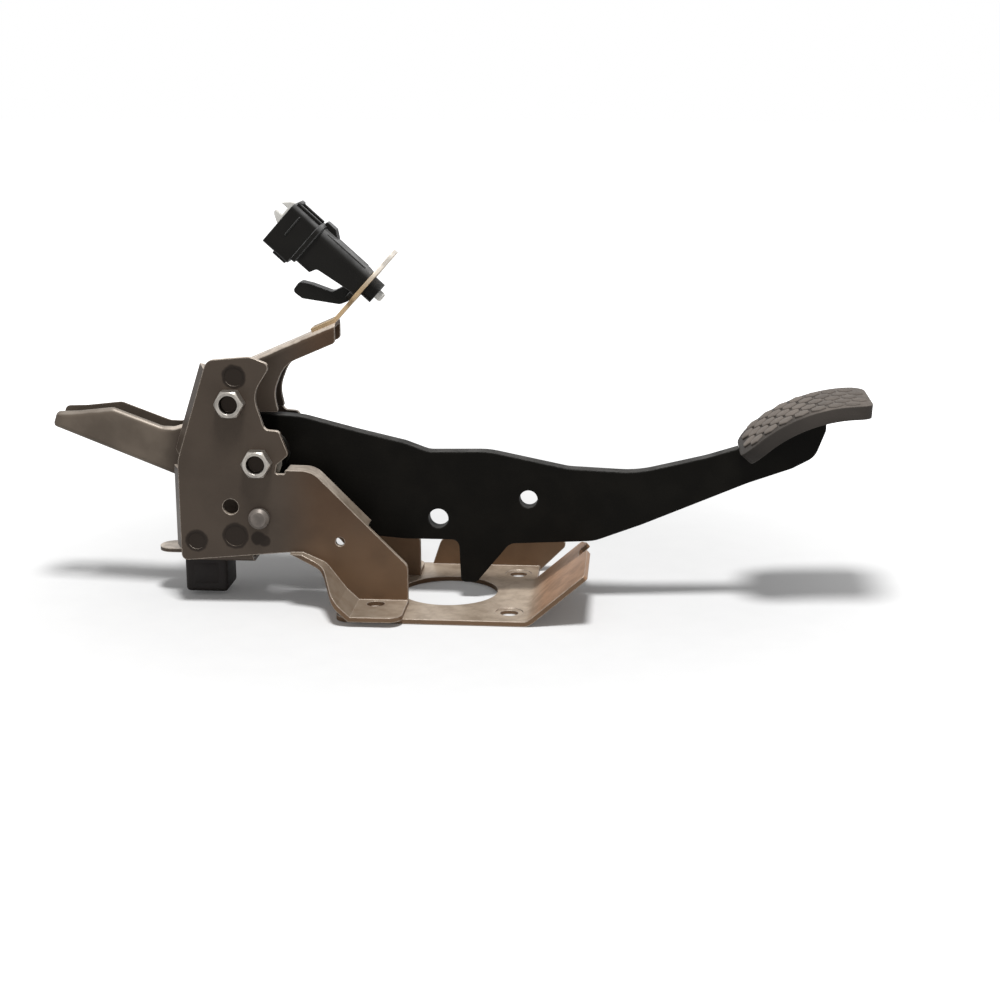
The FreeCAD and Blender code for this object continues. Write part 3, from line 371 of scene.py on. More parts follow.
def effect_edge_wear_and_highlight():
    """Mask along convex edges, broken up by noise, and a rounded normal; the mask serves worn edges and
    painted edge highlights.
    """
    graph, given, result = new_effect(
        "Edge Wear And Highlight", [("Width", "Float", 0.0008), ("Breakup", "Float", 0.5)],
        [("Mask", "Float"), ("Normal", "Vector")])
    bevel = graph.node("ShaderNodeBevel", samples=6)
    graph.feed(bevel.inputs["Radius"], given["Width"])
    shape = graph.node("ShaderNodeNewGeometry")
    dot = graph.node("ShaderNodeVectorMath", operation="DOT_PRODUCT")
    graph.feed(dot.inputs[0], bevel.outputs[0])
    graph.feed(dot.inputs[1], shape.outputs["True Normal"])
    turn = graph.math("SUBTRACT", 1.0, dot.outputs["Value"], clamp=True)
    edge = graph.span(turn, 0.01, 0.16)
    broken = graph.span(graph.noise(graph.place(), 420.0, 4.0), 0.35, 0.65)
    kept = graph.rest(graph.share(broken, given["Breakup"]))
    graph.feed(result["Mask"], graph.math("MULTIPLY", edge, kept, clamp=True))
    graph.feed(result["Normal"], bevel.outputs[0])


def effect_grain():
    """Broad mottling and fine grain."""
    graph, given, result = new_effect(
        "Grain", [("Broad", "Float", 45.0), ("Fine", "Float", 900.0)],
        [("Mottle", "Float"), ("Fine", "Float")])
    place = graph.place()
    for label, source, detail in (("Mottle", "Broad", 4.0), ("Fine", "Fine", 2.0)):
        graph.feed(result[label], graph.noise(place, given[source], detail, 0.5))


def effect_dust_and_top_light():
    """Mask on faces that look upwards, thinned by noise: lying dust, and painted top light in the finishes
    that use it so.
    """
    graph, given, result = new_effect(
        "Dust And Top Light", [("Start", "Float", 0.35), ("Full", "Float", 0.9), ("Patches", "Float", 0.3)],
        [("Mask", "Float")])
    parts = graph.node("ShaderNodeSeparateXYZ")
    graph.feed(parts.inputs[0], graph.node("ShaderNodeNewGeometry").outputs["Normal"])
    up = graph.span(parts.outputs["Z"], given["Start"], given["Full"])
    patch = graph.span(graph.noise(graph.place(), 120.0, 5.0, 0.62), 0.38, 0.66)
    kept = graph.rest(graph.share(patch, given["Patches"]))
    graph.feed(result["Mask"], graph.math("MULTIPLY", up, kept, clamp=True))


def effect_round_mark():
    """Mask of a round spot about a point, with a wavy edge."""
    graph, given, result = new_effect(
        "Round Mark", [("Centre", "Vector", (0, 0, 0)), ("Radius", "Float", 0.005), ("Soft", "Float", 0.001)],
        [("Mask", "Float")])
    apart = graph.node("ShaderNodeVectorMath", operation="DISTANCE")
    graph.feed(apart.inputs[0], graph.place())
    graph.feed(apart.inputs[1], given["Centre"])
    swing = graph.math("SUBTRACT", graph.noise(graph.place(), 300.0), 0.5)
    wobble = graph.share(swing, 1.6 * MM)
    away = graph.math("ADD", apart.outputs["Value"], wobble)
    inner = graph.math("SUBTRACT", given["Radius"], given["Soft"])
    graph.feed(result["Mask"], graph.span(away, inner, given["Radius"], 1.0, 0.0))


def new_finish(name):
    """Empty material: its graph and its shader."""
    material = bpy.data.materials.new(name)
    material.use_nodes = True
    return Graph(material.node_tree), material.node_tree.nodes["Principled BSDF"]


def toned(tone, factor, rise=0.0):
    """A colour scaled and raised, up to white."""
    return tuple(min(1.0, factor * part + rise) for part in tone)


def set_roughness(graph, shader, grain, swing, start):
    """Roughness that follows the grain."""
    graph.feed(shader.inputs["Roughness"], graph.math("ADD", graph.share(grain, swing), start))


def bump(graph, shader, grain, edge_wear_and_highlight, strength, depth):
    """Fine grain as bump, over the rounded normal of the edges."""
    item = graph.node("ShaderNodeBump")
    item.inputs["Strength"].default_value = strength
    item.inputs["Distance"].default_value = depth
    graph.feed(item.inputs["Height"], grain["Fine"])
    graph.feed(item.inputs["Normal"], edge_wear_and_highlight["Normal"])
    graph.feed(shader.inputs["Normal"], item.outputs[0])


# Spot welds of the side plates, and dishes of the bolt heads painted dark as shade: centre and radius in
# millimetres.
SPOT_WELDS = [((-103.0, -27.0, 118.0), 6.0), ((-125.0, -27.0, 34.0), 5.7), ((-105.0, -27.0, 37.0), 6.7),
              ((-93.5, -27.0, 36.0), 3.6), ((-90.5, -27.0, 34.5), 3.0),
              ((-125.0, 27.0, 34.0), 5.7), ((-105.0, 27.0, 37.0), 6.7)]
SCORCH_SPREAD = 0.6
SCORCH_SOFT = 1.2
HEAD_DISHES = [((-105.0, -30.6, 105.0), 5.0), ((-92.5, -30.6, 75.0), 5.0)]
DISH_SOFT = 0.3

# Where the steel changes colour, from and to, in metres.
WARM_REFLECTION_FADE = (0.010, 0.055)      # height: painted warm reflection, browner low on the wings, thinner above
WING_ROOT = (-0.086, -0.058)    # along: side plates, then wings
BRACE_ROOT = (-0.147, -0.136)   # along: brace, then side plates
BRACE_FLOOR = (0.040, 0.055)    # height: tongue of the buffer plate, then brace
UPPER_WORKS = (0.050, 0.070)    # height: base plate and feet, then what stands on them
TONGUE_END = (-0.125, -0.105)   # along: tongue of the buffer plate, then side plates
FOOT_END = (-0.040, -0.012)     # along: feet, then base plate
TOE_FOLD = (0.040, 0.052)       # along: base plate, then toe flange
TAB_RUBBED = (0.158, 0.172)     # height: passivated tab, then its rubbed end

# Where the pad's rubber changes colour, from and to: along, from the crown, and in shares of a stud's height.
# Painted shade: the heel's rubber is painted darker.
SHADED_HEEL = (-0.055, -0.022)
TRODDEN_TOE = (-0.035, -0.018)
STUD_TOPS = (0.25, 0.85)


def spot_marks(graph):
    """Mask of the scorched spots about the spot welds."""
    marks = None
    for centre, radius in SPOT_WELDS:
        mask = graph.spot(centre, radius + SCORCH_SPREAD, SCORCH_SOFT)
        marks = mask if marks is None else graph.math("MAXIMUM", marks, mask)
    return marks


def finish_bracket_steel(tones):
    """Oiled sheet steel with painted top light where it faces up, painted warm reflections and reflection
    clouds, a brace lightened against its shade, worn edges with painted highlights, scorched at its spot
    welds.
    """
    graph, shader = new_finish("Bracket Steel")
    grain = graph.group("Grain", Broad=30.0, Fine=1100.0)
    edge_wear_and_highlight = graph.group("Edge Wear And Highlight", Width=0.9 * MM, Breakup=0.35)
    dust_and_top_light = graph.group("Dust And Top Light", Start=0.15, Full=0.72, Patches=0.4)
    axes = graph.axes()
    along, height = axes["X"], axes["Z"]
    brace = graph.math("MULTIPLY", graph.span(along, *BRACE_ROOT, 1.0, 0.0), graph.span(height, *BRACE_FLOOR))
    aloft = graph.math("MAXIMUM", graph.span(height, *UPPER_WORKS), graph.span(along, *TONGUE_END, 1.0, 0.0))
    marks = spot_marks(graph)

    # Painted warm reflection on the wings, browner low down.
    warm_reflection = graph.mix(graph.span(height, *WARM_REFLECTION_FADE, 1.0, 0.0), tones.steel_warm_reflection, tones.steel_low_warm_reflection)
    uneven = graph.span(grain["Mottle"], 0.25, 0.75, 0.45, 1.0)
    base = graph.mix(graph.math("MULTIPLY", graph.span(along, *WING_ROOT), uneven), tones.steel, warm_reflection)
    # Painted light: the brace gets a lighter tone, partly to offset the shade inside it.
    base = graph.mix(brace, base, tones.steel_brace_lightened)
    # Painted reflection: broad darker clouds stand in for uneven reflection of the surroundings.
    cloudy_reflection = graph.share(graph.span(grain["Mottle"], 0.38, 0.66), 0.5)
    base = graph.mix(cloudy_reflection, base, toned(tones.steel, 0.62))
    base = graph.mix(graph.share(marks, 0.9), base, tones.scorch_and_dish_shade)

    # Painted top light: upward faces turn pale, dimmer on the feet, tan on the toe flange as a painted warm
    # reflection, brightest on the upper works and dimmer on the brace.
    top_highlight = graph.mix(graph.span(along, *FOOT_END, 1.0, 0.0), tones.steel_top_highlight, toned(tones.steel_top_highlight, 0.62))
    top_highlight = graph.mix(graph.span(along, *TOE_FOLD), top_highlight, tones.steel_toe_warm_reflection)
    top_highlight = graph.mix(aloft, top_highlight, tones.steel_edge_and_top_highlight)
    top_highlight = graph.mix(brace, top_highlight, toned(tones.steel_edge_and_top_highlight, 0.42))
    level = graph.math("MAXIMUM", graph.span(dust_and_top_light["Mask"], 0.3, 0.6), graph.rest(aloft))
    base = graph.mix(graph.math("MULTIPLY", dust_and_top_light["Mask"], level), base, top_highlight)

    # Bright edges: worn bare steel, partly painted edge highlight, weaker on the brace.
    bare = graph.math("MULTIPLY", edge_wear_and_highlight["Mask"], graph.rest(marks))
    bare = graph.math("MULTIPLY", bare, graph.span(brace, 0.0, 1.0, 0.95, 0.25))
    graph.feed(shader.inputs["Base Color"], graph.mix(bare, base, tones.steel_edge_and_top_highlight))
    set_roughness(graph, shader, grain["Mottle"], 0.25, 0.3)
    shader.inputs["Metallic"].default_value = 0.3
    shader.inputs["Specular IOR Level"].default_value = 0.18
    bump(graph, shader, grain, edge_wear_and_highlight, strength=0.12, depth=0.2 * MM)


def finish_plated(name, tone, broad, roughness, metallic, rubbed=None, dish_shade=None):
    """Plated or bare metal with bright edges, partly painted edge highlight; a tab's end may be rubbed, and
    bolt heads have their dishes painted dark as shade.
    """
    graph, shader = new_finish(name)
    grain = graph.group("Grain", Broad=broad, Fine=1500.0)
    edge_wear_and_highlight = graph.group("Edge Wear And Highlight", Width=0.6 * MM, Breakup=0.4)
    base = graph.mix(graph.span(grain["Mottle"], 0.35, 0.7), tone, toned(tone, 0.6))
    if rubbed is not None:
        base = graph.mix(graph.span(graph.axes()["Z"], *TAB_RUBBED), base, rubbed)
    # Bright edges: worn plating, partly painted edge highlight.
    base = graph.mix(edge_wear_and_highlight["Mask"], base, toned(tone, 1.35, 0.06))
    # Painted shade: the dishes of the bolt heads are painted dark.
    if dish_shade is not None:
        for centre, radius in HEAD_DISHES:
            base = graph.mix(graph.spot(centre, radius, DISH_SOFT), base, dish_shade)
    graph.feed(shader.inputs["Base Color"], base)
    set_roughness(graph, shader, grain["Mottle"], 0.25, roughness)
    shader.inputs["Metallic"].default_value = metallic
    bump(graph, shader, grain, edge_wear_and_highlight, strength=0.1, depth=0.2 * MM)


def finish_paint(tones):
    """Satin black paint, slightly orange-peeled, greyed where it faces up."""
    graph, shader = new_finish("Arm Paint")
    grain = graph.group("Grain", Broad=60.0, Fine=700.0)
    edge_wear_and_highlight = graph.group("Edge Wear And Highlight", Width=1.2 * MM, Breakup=0.8)
    dust_and_top_light = graph.group("Dust And Top Light", Start=0.3, Full=0.95, Patches=0.7)
    base = graph.mix(graph.span(grain["Mottle"], 0.4, 0.7), tones.arm, toned(tones.arm, 1.5))
    base = graph.mix(graph.share(dust_and_top_light["Mask"], 0.5), base, tones.arm_dust)
    base = graph.mix(graph.share(edge_wear_and_highlight["Mask"], 0.35), base, tones.arm_worn)
    graph.feed(shader.inputs["Base Color"], base)
    set_roughness(graph, shader, grain["Mottle"], 0.2, 0.38)
    shader.inputs["Specular IOR Level"].default_value = 0.06
    bump(graph, shader, grain, edge_wear_and_highlight, strength=0.08, depth=0.3 * MM)


def high_spots(graph, pad):
    """Mask of the stud tops, by their distance from the pad's centre of curvature."""
    flat = graph.node("ShaderNodeVectorMath", operation="MULTIPLY_ADD")
    graph.feed(flat.inputs[0], graph.place())
    flat.inputs[1].default_value = (1, 0, 1)
    flat.inputs[2].default_value = (-pad.crown_x, 0, pad.radius - pad.crown_z)
    away = graph.node("ShaderNodeVectorMath", operation="LENGTH")
    graph.feed(away.inputs[0], flat.outputs[0])
    low, high = (pad.radius + share * pad.stud_height for share in STUD_TOPS)
    return graph.span(away.outputs["Value"], low, high)


def finish_rubber(name, tone, worn, dusty, pad=None):
    """Moulded rubber; a pad is painted darker at its heel as shade, and polished on its studs and toe."""
    graph, shader = new_finish(name)
    grain = graph.group("Grain", Broad=90.0, Fine=1400.0)
    edge_wear_and_highlight = graph.group("Edge Wear And Highlight", Width=0.8 * MM, Breakup=0.5)
    dust_and_top_light = graph.group("Dust And Top Light", Start=0.25, Full=0.9, Patches=0.4)
    base = graph.mix(graph.span(grain["Mottle"], 0.35, 0.7), tone, toned(tone, 0.75))
    if pad:
        along = graph.math("SUBTRACT", graph.axes()["X"], pad.crown_x)
        # Painted shade: the heel is painted darker, its sides and grooves too.
        base = graph.mix(graph.span(along, *SHADED_HEEL, 0.75, 0.0), base, toned(tone, 0.35))
    base = graph.mix(graph.share(dust_and_top_light["Mask"], dusty), base, worn)
    if pad:
        trodden = graph.math("MULTIPLY", graph.span(along, *TRODDEN_TOE, 0.0, 0.75), dust_and_top_light["Mask"])
        rubbed = graph.math("MAXIMUM", high_spots(graph, pad), trodden)
        rubbed = graph.math("MULTIPLY", rubbed, graph.span(grain["Mottle"], 0.2, 0.7, 1.0, 0.7))
        base = graph.mix(rubbed, base, toned(worn, 1.15))
    base = graph.mix(graph.share(edge_wear_and_highlight["Mask"], 0.3), base, worn)
    graph.feed(shader.inputs["Base Color"], base)
    set_roughness(graph, shader, grain["Mottle"], -0.2, 0.75)
    shader.inputs["Specular IOR Level"].default_value = 0.25
    bump(graph, shader, grain, edge_wear_and_highlight, strength=0.2, depth=0.3 * MM)


def finish_plastic(name, tone, specular, roughness):
    """Moulded plastic with a fine spark-eroded grain, lightened along its edges and upper faces as painted
    highlight and dust.
    """
    graph, shader = new_finish(name)
    grain = graph.group("Grain", Broad=70.0, Fine=2200.0)
    edge_wear_and_highlight = graph.group("Edge Wear And Highlight", Width=0.7 * MM, Breakup=0.5)
    dust_and_top_light = graph.group("Dust And Top Light", Start=0.2, Full=0.8, Patches=0.5)
    # Painted highlight: edges and upper faces turn lighter, partly as dust.
    light = toned(tone, 0.9, 0.22)
    base = graph.mix(graph.span(grain["Mottle"], 0.4, 0.7), tone, toned(tone, 0.8))
    base = graph.mix(graph.share(dust_and_top_light["Mask"], 0.6), base, light)
    base = graph.mix(graph.share(edge_wear_and_highlight["Mask"], 0.9), base, light)
    graph.feed(shader.inputs["Base Color"], base)
    set_roughness(graph, shader, grain["Fine"], 0.15, roughness)
    shader.inputs["Specular IOR Level"].default_value = specular
    bump(graph, shader, grain, edge_wear_and_highlight, strength=0.12, depth=0.2 * MM)


NODE_FINISH = {
    "Bracket Steel": ["base_plate", "left_side_plate", "right_side_plate", "cross_web", "column_brace",
                      "switch_bracket", "buffer_plate"],
    "Tab Steel": ["switch_tab"],
    "Zinc Plate": ["pivot_bolt", "pivot_nut", "pivot_sleeve", "clamp_bolt", "clamp_nut", "clamp_spacers"],
    "Pin Steel": ["stop_pin"],
    "Arm Paint": ["pedal_arm", "pivot_tube", "pad_plate"],
    "Bush Plastic": ["left_bush", "right_bush"],
    "Pad Rubber": ["pedal_pad"],
    "Buffer Rubber": ["rubber_buffer"],
    "Switch Plastic": ["switch_body", "switch_cap", "switch_lock"],
    "Pale Plastic": ["connector_lock", "switch_plunger"],
    "Terminal Brass": ["switch_terminals"],
}


class PEDAL_OT_finishes(bpy.types.Operator):
    """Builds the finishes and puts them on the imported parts"""
    bl_idname = "brake_pedal.finishes"
    bl_label = "Finishes"

    def execute(self, context):
        tones = context.scene.pedal_colours
        effect_edge_wear_and_highlight()
        effect_grain()
        effect_dust_and_top_light()
        effect_round_mark()
        finish_bracket_steel(tones)
        finish_plated("Tab Steel", tones.tab, broad=60.0, roughness=0.3, metallic=0.35, rubbed=tones.tab_worn)
        finish_plated("Zinc Plate", tones.zinc, broad=150.0, roughness=0.22, metallic=0.85,
                      dish_shade=tones.scorch_and_dish_shade)
        finish_plated("Pin Steel", tones.pin, broad=150.0, roughness=0.35, metallic=0.5)
        finish_plated("Terminal Brass", tones.brass, broad=200.0, roughness=0.25, metallic=0.9)
        finish_paint(tones)
        finish_rubber("Pad Rubber", tones.rubber, tones.rubber_worn, dusty=0.2, pad=context.scene.pedal_pad)
        finish_rubber("Buffer Rubber", tones.buffer, toned(tones.buffer, 2.2), dusty=0.4)
        finish_plastic("Bush Plastic", tones.bush, specular=0.4, roughness=0.4)
        finish_plastic("Switch Plastic", tones.plastic, specular=0.12, roughness=0.3)
        finish_plastic("Pale Plastic", tones.pale_plastic, specular=0.4, roughness=0.35)
        for finish, names in NODE_FINISH.items():
            for name in names:
                NODES[name].data.materials.clear()
                NODES[name].data.materials.append(bpy.data.materials[finish])
        return {"FINISHED"}


GLOW_REACH = (0.12, 0.60)  # metres from the middle over which the paper turns plain white
GLOW_NEAR = 0.06           # glow of the paper close to the part


class PEDAL_OT_stage(bpy.types.Operator):
    """Floor, light and camera"""
    bl_idname = "brake_pedal.stage"
    bl_label = "Stage"

    def execute(self, context):
        settings = context.scene.pedal_stage
        self.floor(context, settings)
        self.lights(context, settings)
        self.camera(context, settings)
        return {"FINISHED"}

    def floor(self, context, settings):
        """Pale paper that keeps the shadow, turns white further out and can be seen through from below."""
        deselect()
        bpy.ops.mesh.primitive_plane_add(size=settings.floor, location=(0, 0, -settings.floor_gap))
        floor = context.object
        bake_place(floor)
        floor.name = "floor"
        graph, shader = new_finish("Floor Paper")
        fibres = graph.noise(graph.place(), 60.0)
        graph.feed(shader.inputs["Base Color"], graph.mix(fibres, settings.paper_fibre, settings.paper))
        shader.inputs["Roughness"].default_value = 0.9
        shader.inputs["Specular IOR Level"].default_value = 0.0
        seen = graph.node("ShaderNodeLightPath").outputs["Is Camera Ray"]
        away = graph.node("ShaderNodeVectorMath", operation="LENGTH")
        graph.feed(away.inputs[0], graph.place())
        glow = graph.span(away.outputs["Value"], *GLOW_REACH, GLOW_NEAR, 1.0)
        shader.inputs["Emission Color"].default_value = (1, 1, 1, 1)
        graph.feed(shader.inputs["Emission Strength"], graph.math("MULTIPLY", seen, glow))
        below = graph.node("ShaderNodeNewGeometry").outputs["Backfacing"]
        graph.feed(shader.inputs["Alpha"], graph.rest(below))
        floor.data.materials.append(bpy.data.materials["Floor Paper"])

    def lights(self, context, settings):
        """Soft overhead key and an even sky that shows white."""
        bpy.ops.object.light_add(type="AREA", location=settings.key_place)
        key = context.object
        key.name = "key_light"
        key.data.shape = "DISK"
        key.data.size = settings.key_size
        key.data.energy = settings.key
        aim = Vector(settings.key_aim) - key.location
        key.rotation_euler = aim.to_track_quat("-Z", "Y").to_euler()
        world = bpy.data.worlds.new("Even Sky")
        world.use_nodes = True
        context.scene.world = world
        graph = Graph(world.node_tree)
        sky = world.node_tree.nodes["Background"]
        path = graph.node("ShaderNodeLightPath")
        seen = graph.math("MAXIMUM", path.outputs["Is Camera Ray"], path.outputs["Is Glossy Ray"])
        seen = graph.math("MAXIMUM", seen, path.outputs["Is Transmission Ray"])
        sky.inputs["Color"].default_value = (1, 1, 1, 1)
        rise = graph.share(seen, 1.0 - settings.sky)
        graph.feed(sky.inputs["Strength"], graph.math("ADD", rise, settings.sky))

    def camera(self, context, settings):
        """Camera at the photograph's angle."""
        bpy.ops.object.camera_add(location=settings.camera)
        camera = context.object
        camera.name = "camera"
        camera.data.lens = settings.lens
        camera.data.sensor_width = 36.0
        camera.data.clip_start = 0.01
        aim = Vector(settings.target) - Vector(settings.camera)
        camera.rotation_euler = aim.to_track_quat("-Z", "Y").to_euler()
        context.scene.camera = camera
        context.scene.view_settings.view_transform = "Standard"


CORNER_SHARE = 0.72       # offset of a corner's bevel for its radius
PAD_STEPS = 26            # lengths in which the slab follows its crown
STUD_ROWS = range(-2, 3)  # rows about the pad's middle line
WORN_SHARE = 0.6          # part of its height that a stud at the toe has lost
WEAR_START = 0.45         # share of the pad's length, from the heel, where the studs start to lose height
WEAR_REACH = 0.35         # share of the length over which it grows


class PEDAL_OT_pad_cover(bpy.types.Operator):
    """Rubber pad stretched over its plate, with rounded hexagonal studs"""
    bl_idname = "brake_pedal.pad_cover"
    bl_label = "Pad cover"

    def execute(self, context):
        size = context.scene.pedal_pad
        slab = self.slab(size)
        studs = self.studs(size)
        cover = join([slab] + studs)
        self.curve(cover, size)
        clean(cover, 50)
        settle(cover, "pad_cover", "pedal", bpy.data.materials["Pad Rubber"])
        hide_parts("pedal_pad")
        return {"FINISHED"}

    def slab(self, size):
        """Flat slab with rounded corners and a pocket for the plate, its top at height zero."""
        deselect()
        middle = (size.toe - size.heel) / 2
        whole = size.toe + size.heel
        bpy.ops.mesh.primitive_plane_add(size=1.0, location=(middle, 0, -size.thickness))
        slab = bpy.context.object
        slab.scale = (whole, size.width, 1.0)
        bake_place(slab)
        edit("VERT")
        for end, corner in ((size.toe, size.toe_corner), (-size.heel, size.heel_corner)):
            pick_verts(lambda co: abs(co.x - end) < NEAR and abs(abs(co.y) - size.width / 2) < NEAR)
            bpy.ops.mesh.bevel(offset=corner * CORNER_SHARE, offset_type="OFFSET", segments=6,
                               affect="VERTICES")
        for step in range(1, PAD_STEPS):
            bpy.ops.mesh.select_all(action="SELECT")
            x = middle + (step / PAD_STEPS - 0.5) * whole
            bpy.ops.mesh.bisect(plane_co=(x, 0, 0), plane_no=(1, 0, 0))
        bpy.ops.mesh.select_all(action="SELECT")
        bpy.ops.mesh.extrude_region_move(TRANSFORM_OT_translate={"value": (0, 0, size.thickness)})
        bpy.ops.mesh.select_all(action="SELECT")
        bpy.ops.mesh.normals_make_consistent(inside=False)
        bpy.ops.mesh.select_mode(type="FACE")
        pick_faces(lambda centre, normal: normal.z < -0.9)
        bpy.ops.mesh.inset(thickness=size.lip, depth=0.0)
        bpy.ops.mesh.hide(unselected=False)
        pick_faces(lambda centre, normal: normal.z < -0.9)
        bpy.ops.mesh.extrude_region_move(TRANSFORM_OT_translate={"value": (0, 0, -size.skirt)})
        bpy.ops.mesh.reveal(select=False)
        done()
        round_edges(slab, size.edge, 50)
        return slab

    def studs(self, size):
        """One rounded stud, copied into staggered rows and worn lower towards the toe."""
        deselect()
        radius = size.stud_length / math.sqrt(3)
        stretch = 2 * size.row_pitch / (math.sqrt(3) * size.stud_pitch)
        bpy.ops.mesh.primitive_cylinder_add(vertices=6, radius=radius, depth=size.stud_depth,
                                            location=(0, 0, size.stud_height - size.stud_depth / 2))
        first = bpy.context.object
        first.scale = (1.0, stretch, 1.0)
        bake_place(first)
        round_edges(first, size.stud_edge, 30)
        studs = []
        for row in STUD_ROWS:
            x = size.toe - size.rim - (0.5 if row % 2 else 1.0) * size.stud_pitch
            y = row * size.row_pitch
            while x > -size.heel:
                if self.fits(x, y, stretch * radius, size):
                    studs.append(copy_of(first, (x, y, -self.worn(x, size))))
                x -= size.stud_pitch
        bpy.data.objects.remove(first)
        for stud in studs:
            bake_place(stud)
        return studs

    @staticmethod
    def worn(x, size):
        """Height lost by a stud at a place along the pad."""
        along = (x + size.heel) / (size.heel + size.toe)
        return WORN_SHARE * size.stud_height * min(1.0, max(0.0, (along - WEAR_START) / WEAR_REACH))

    @staticmethod
    def fits(x, y, tip, size):
        """Whether a whole stud, with its tip across the pad, lies inside the plain rim."""
        at_heel = x < -size.heel / 2
        reach, corner = (size.heel, size.heel_corner) if at_heel else (size.toe, size.toe_corner)
        half = size.stud_length / 2
        for ahead, aside in ((half, tip / 2), (-half, tip / 2), (0, tip)):
            past_x = (-x if at_heel else x) + ahead - (reach - corner)
            past_y = abs(y) + aside - (size.width / 2 - corner)
            if math.hypot(max(past_x, 0), max(past_y, 0)) > corner - size.rim:
                return False
        return True

    def curve(self, cover, size):
        """Bends the flat cover to its crown and sets it on the plate."""
        cover.rotation_euler = (math.radians(-90), 0, 0)
        bake_place(cover)
        xs = [vert.co.x for vert in cover.data.vertices]
        modify(cover, "SIMPLE_DEFORM", deform_method="BEND", deform_axis="Z",
               angle=-(max(xs) - min(xs)) / size.radius)
        cover.rotation_euler = (math.radians(90), 0, 0)
        cover.location = (size.crown_x, 0, size.crown_z)
        bake_place(cover)


class PEDAL_OT_buffer_block(bpy.types.Operator):
    """Rubber block under the buffer plate, with its button"""
    bl_idname = "brake_pedal.buffer_block"
    bl_label = "Buffer block"

    def execute(self, context):
        size = context.scene.pedal_trim
        low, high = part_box("rubber_buffer")
        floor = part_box("buffer_plate")[0][2]
        seat = floor + size.buffer_sheet
        x, y = (low[0] + high[0]) / 2, (low[1] + high[1]) / 2
        half_way = (low[2] + floor) / 2
        deselect()
        bpy.ops.mesh.primitive_cube_add(size=1.0, location=(x, y, half_way))
        block = context.object
        block.scale = (high[0] - low[0], high[1] - low[1], floor - low[2])
        bake_place(block)
        edit("EDGE")
        bpy.ops.mesh.select_all(action="SELECT")
        bpy.ops.mesh.bevel(offset=size.rubber_edge, offset_type="OFFSET", segments=4, affect="EDGES")
        bpy.ops.mesh.select_mode(type="FACE")
        pick_faces(lambda centre, normal: abs(normal.y) > 0.99 and abs(centre.z - half_way) < 1 * MM)
        bpy.ops.mesh.inset(thickness=size.buffer_margin, depth=-size.buffer_recess, use_individual=True)
        bpy.ops.mesh.inset(thickness=size.buffer_recess, depth=size.buffer_rise, use_individual=True)
        done()
        bpy.ops.mesh.primitive_cylinder_add(vertices=32, radius=size.buffer_stem, depth=2 * size.buffer_sheet,
                                            location=(x, y, floor + size.buffer_sheet / 2))
        stem = context.object
        bpy.ops.mesh.primitive_cone_add(vertices=32, radius1=size.buffer_button, radius2=size.buffer_stem,
                                        depth=high[2] - seat, location=(x, y, (high[2] + seat) / 2))
        button = context.object
        for part in (stem, button):
            bake_place(part)
        round_edges(button, size.button_edge, 40)
        block = join([block, stem, button])
        clean(block, 45)
        settle(block, "buffer_block", "bracket", bpy.data.materials["Buffer Rubber"])
        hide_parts("rubber_buffer")
        return {"FINISHED"}


BEAD_STEP = 0.6 * MM      # length of a bead's segments
RUN_STEPS = 24            # segments of a straight bead
SEAM_FROM_HEEL = 6 * MM   # start of the pad's weld, from its plate's heel
SEAM_FROM_END = 3 * MM    # its end, before the arm's end
RUN_FROM_FLOOR = 5 * MM   # start of the brace's weld, above its lowest point


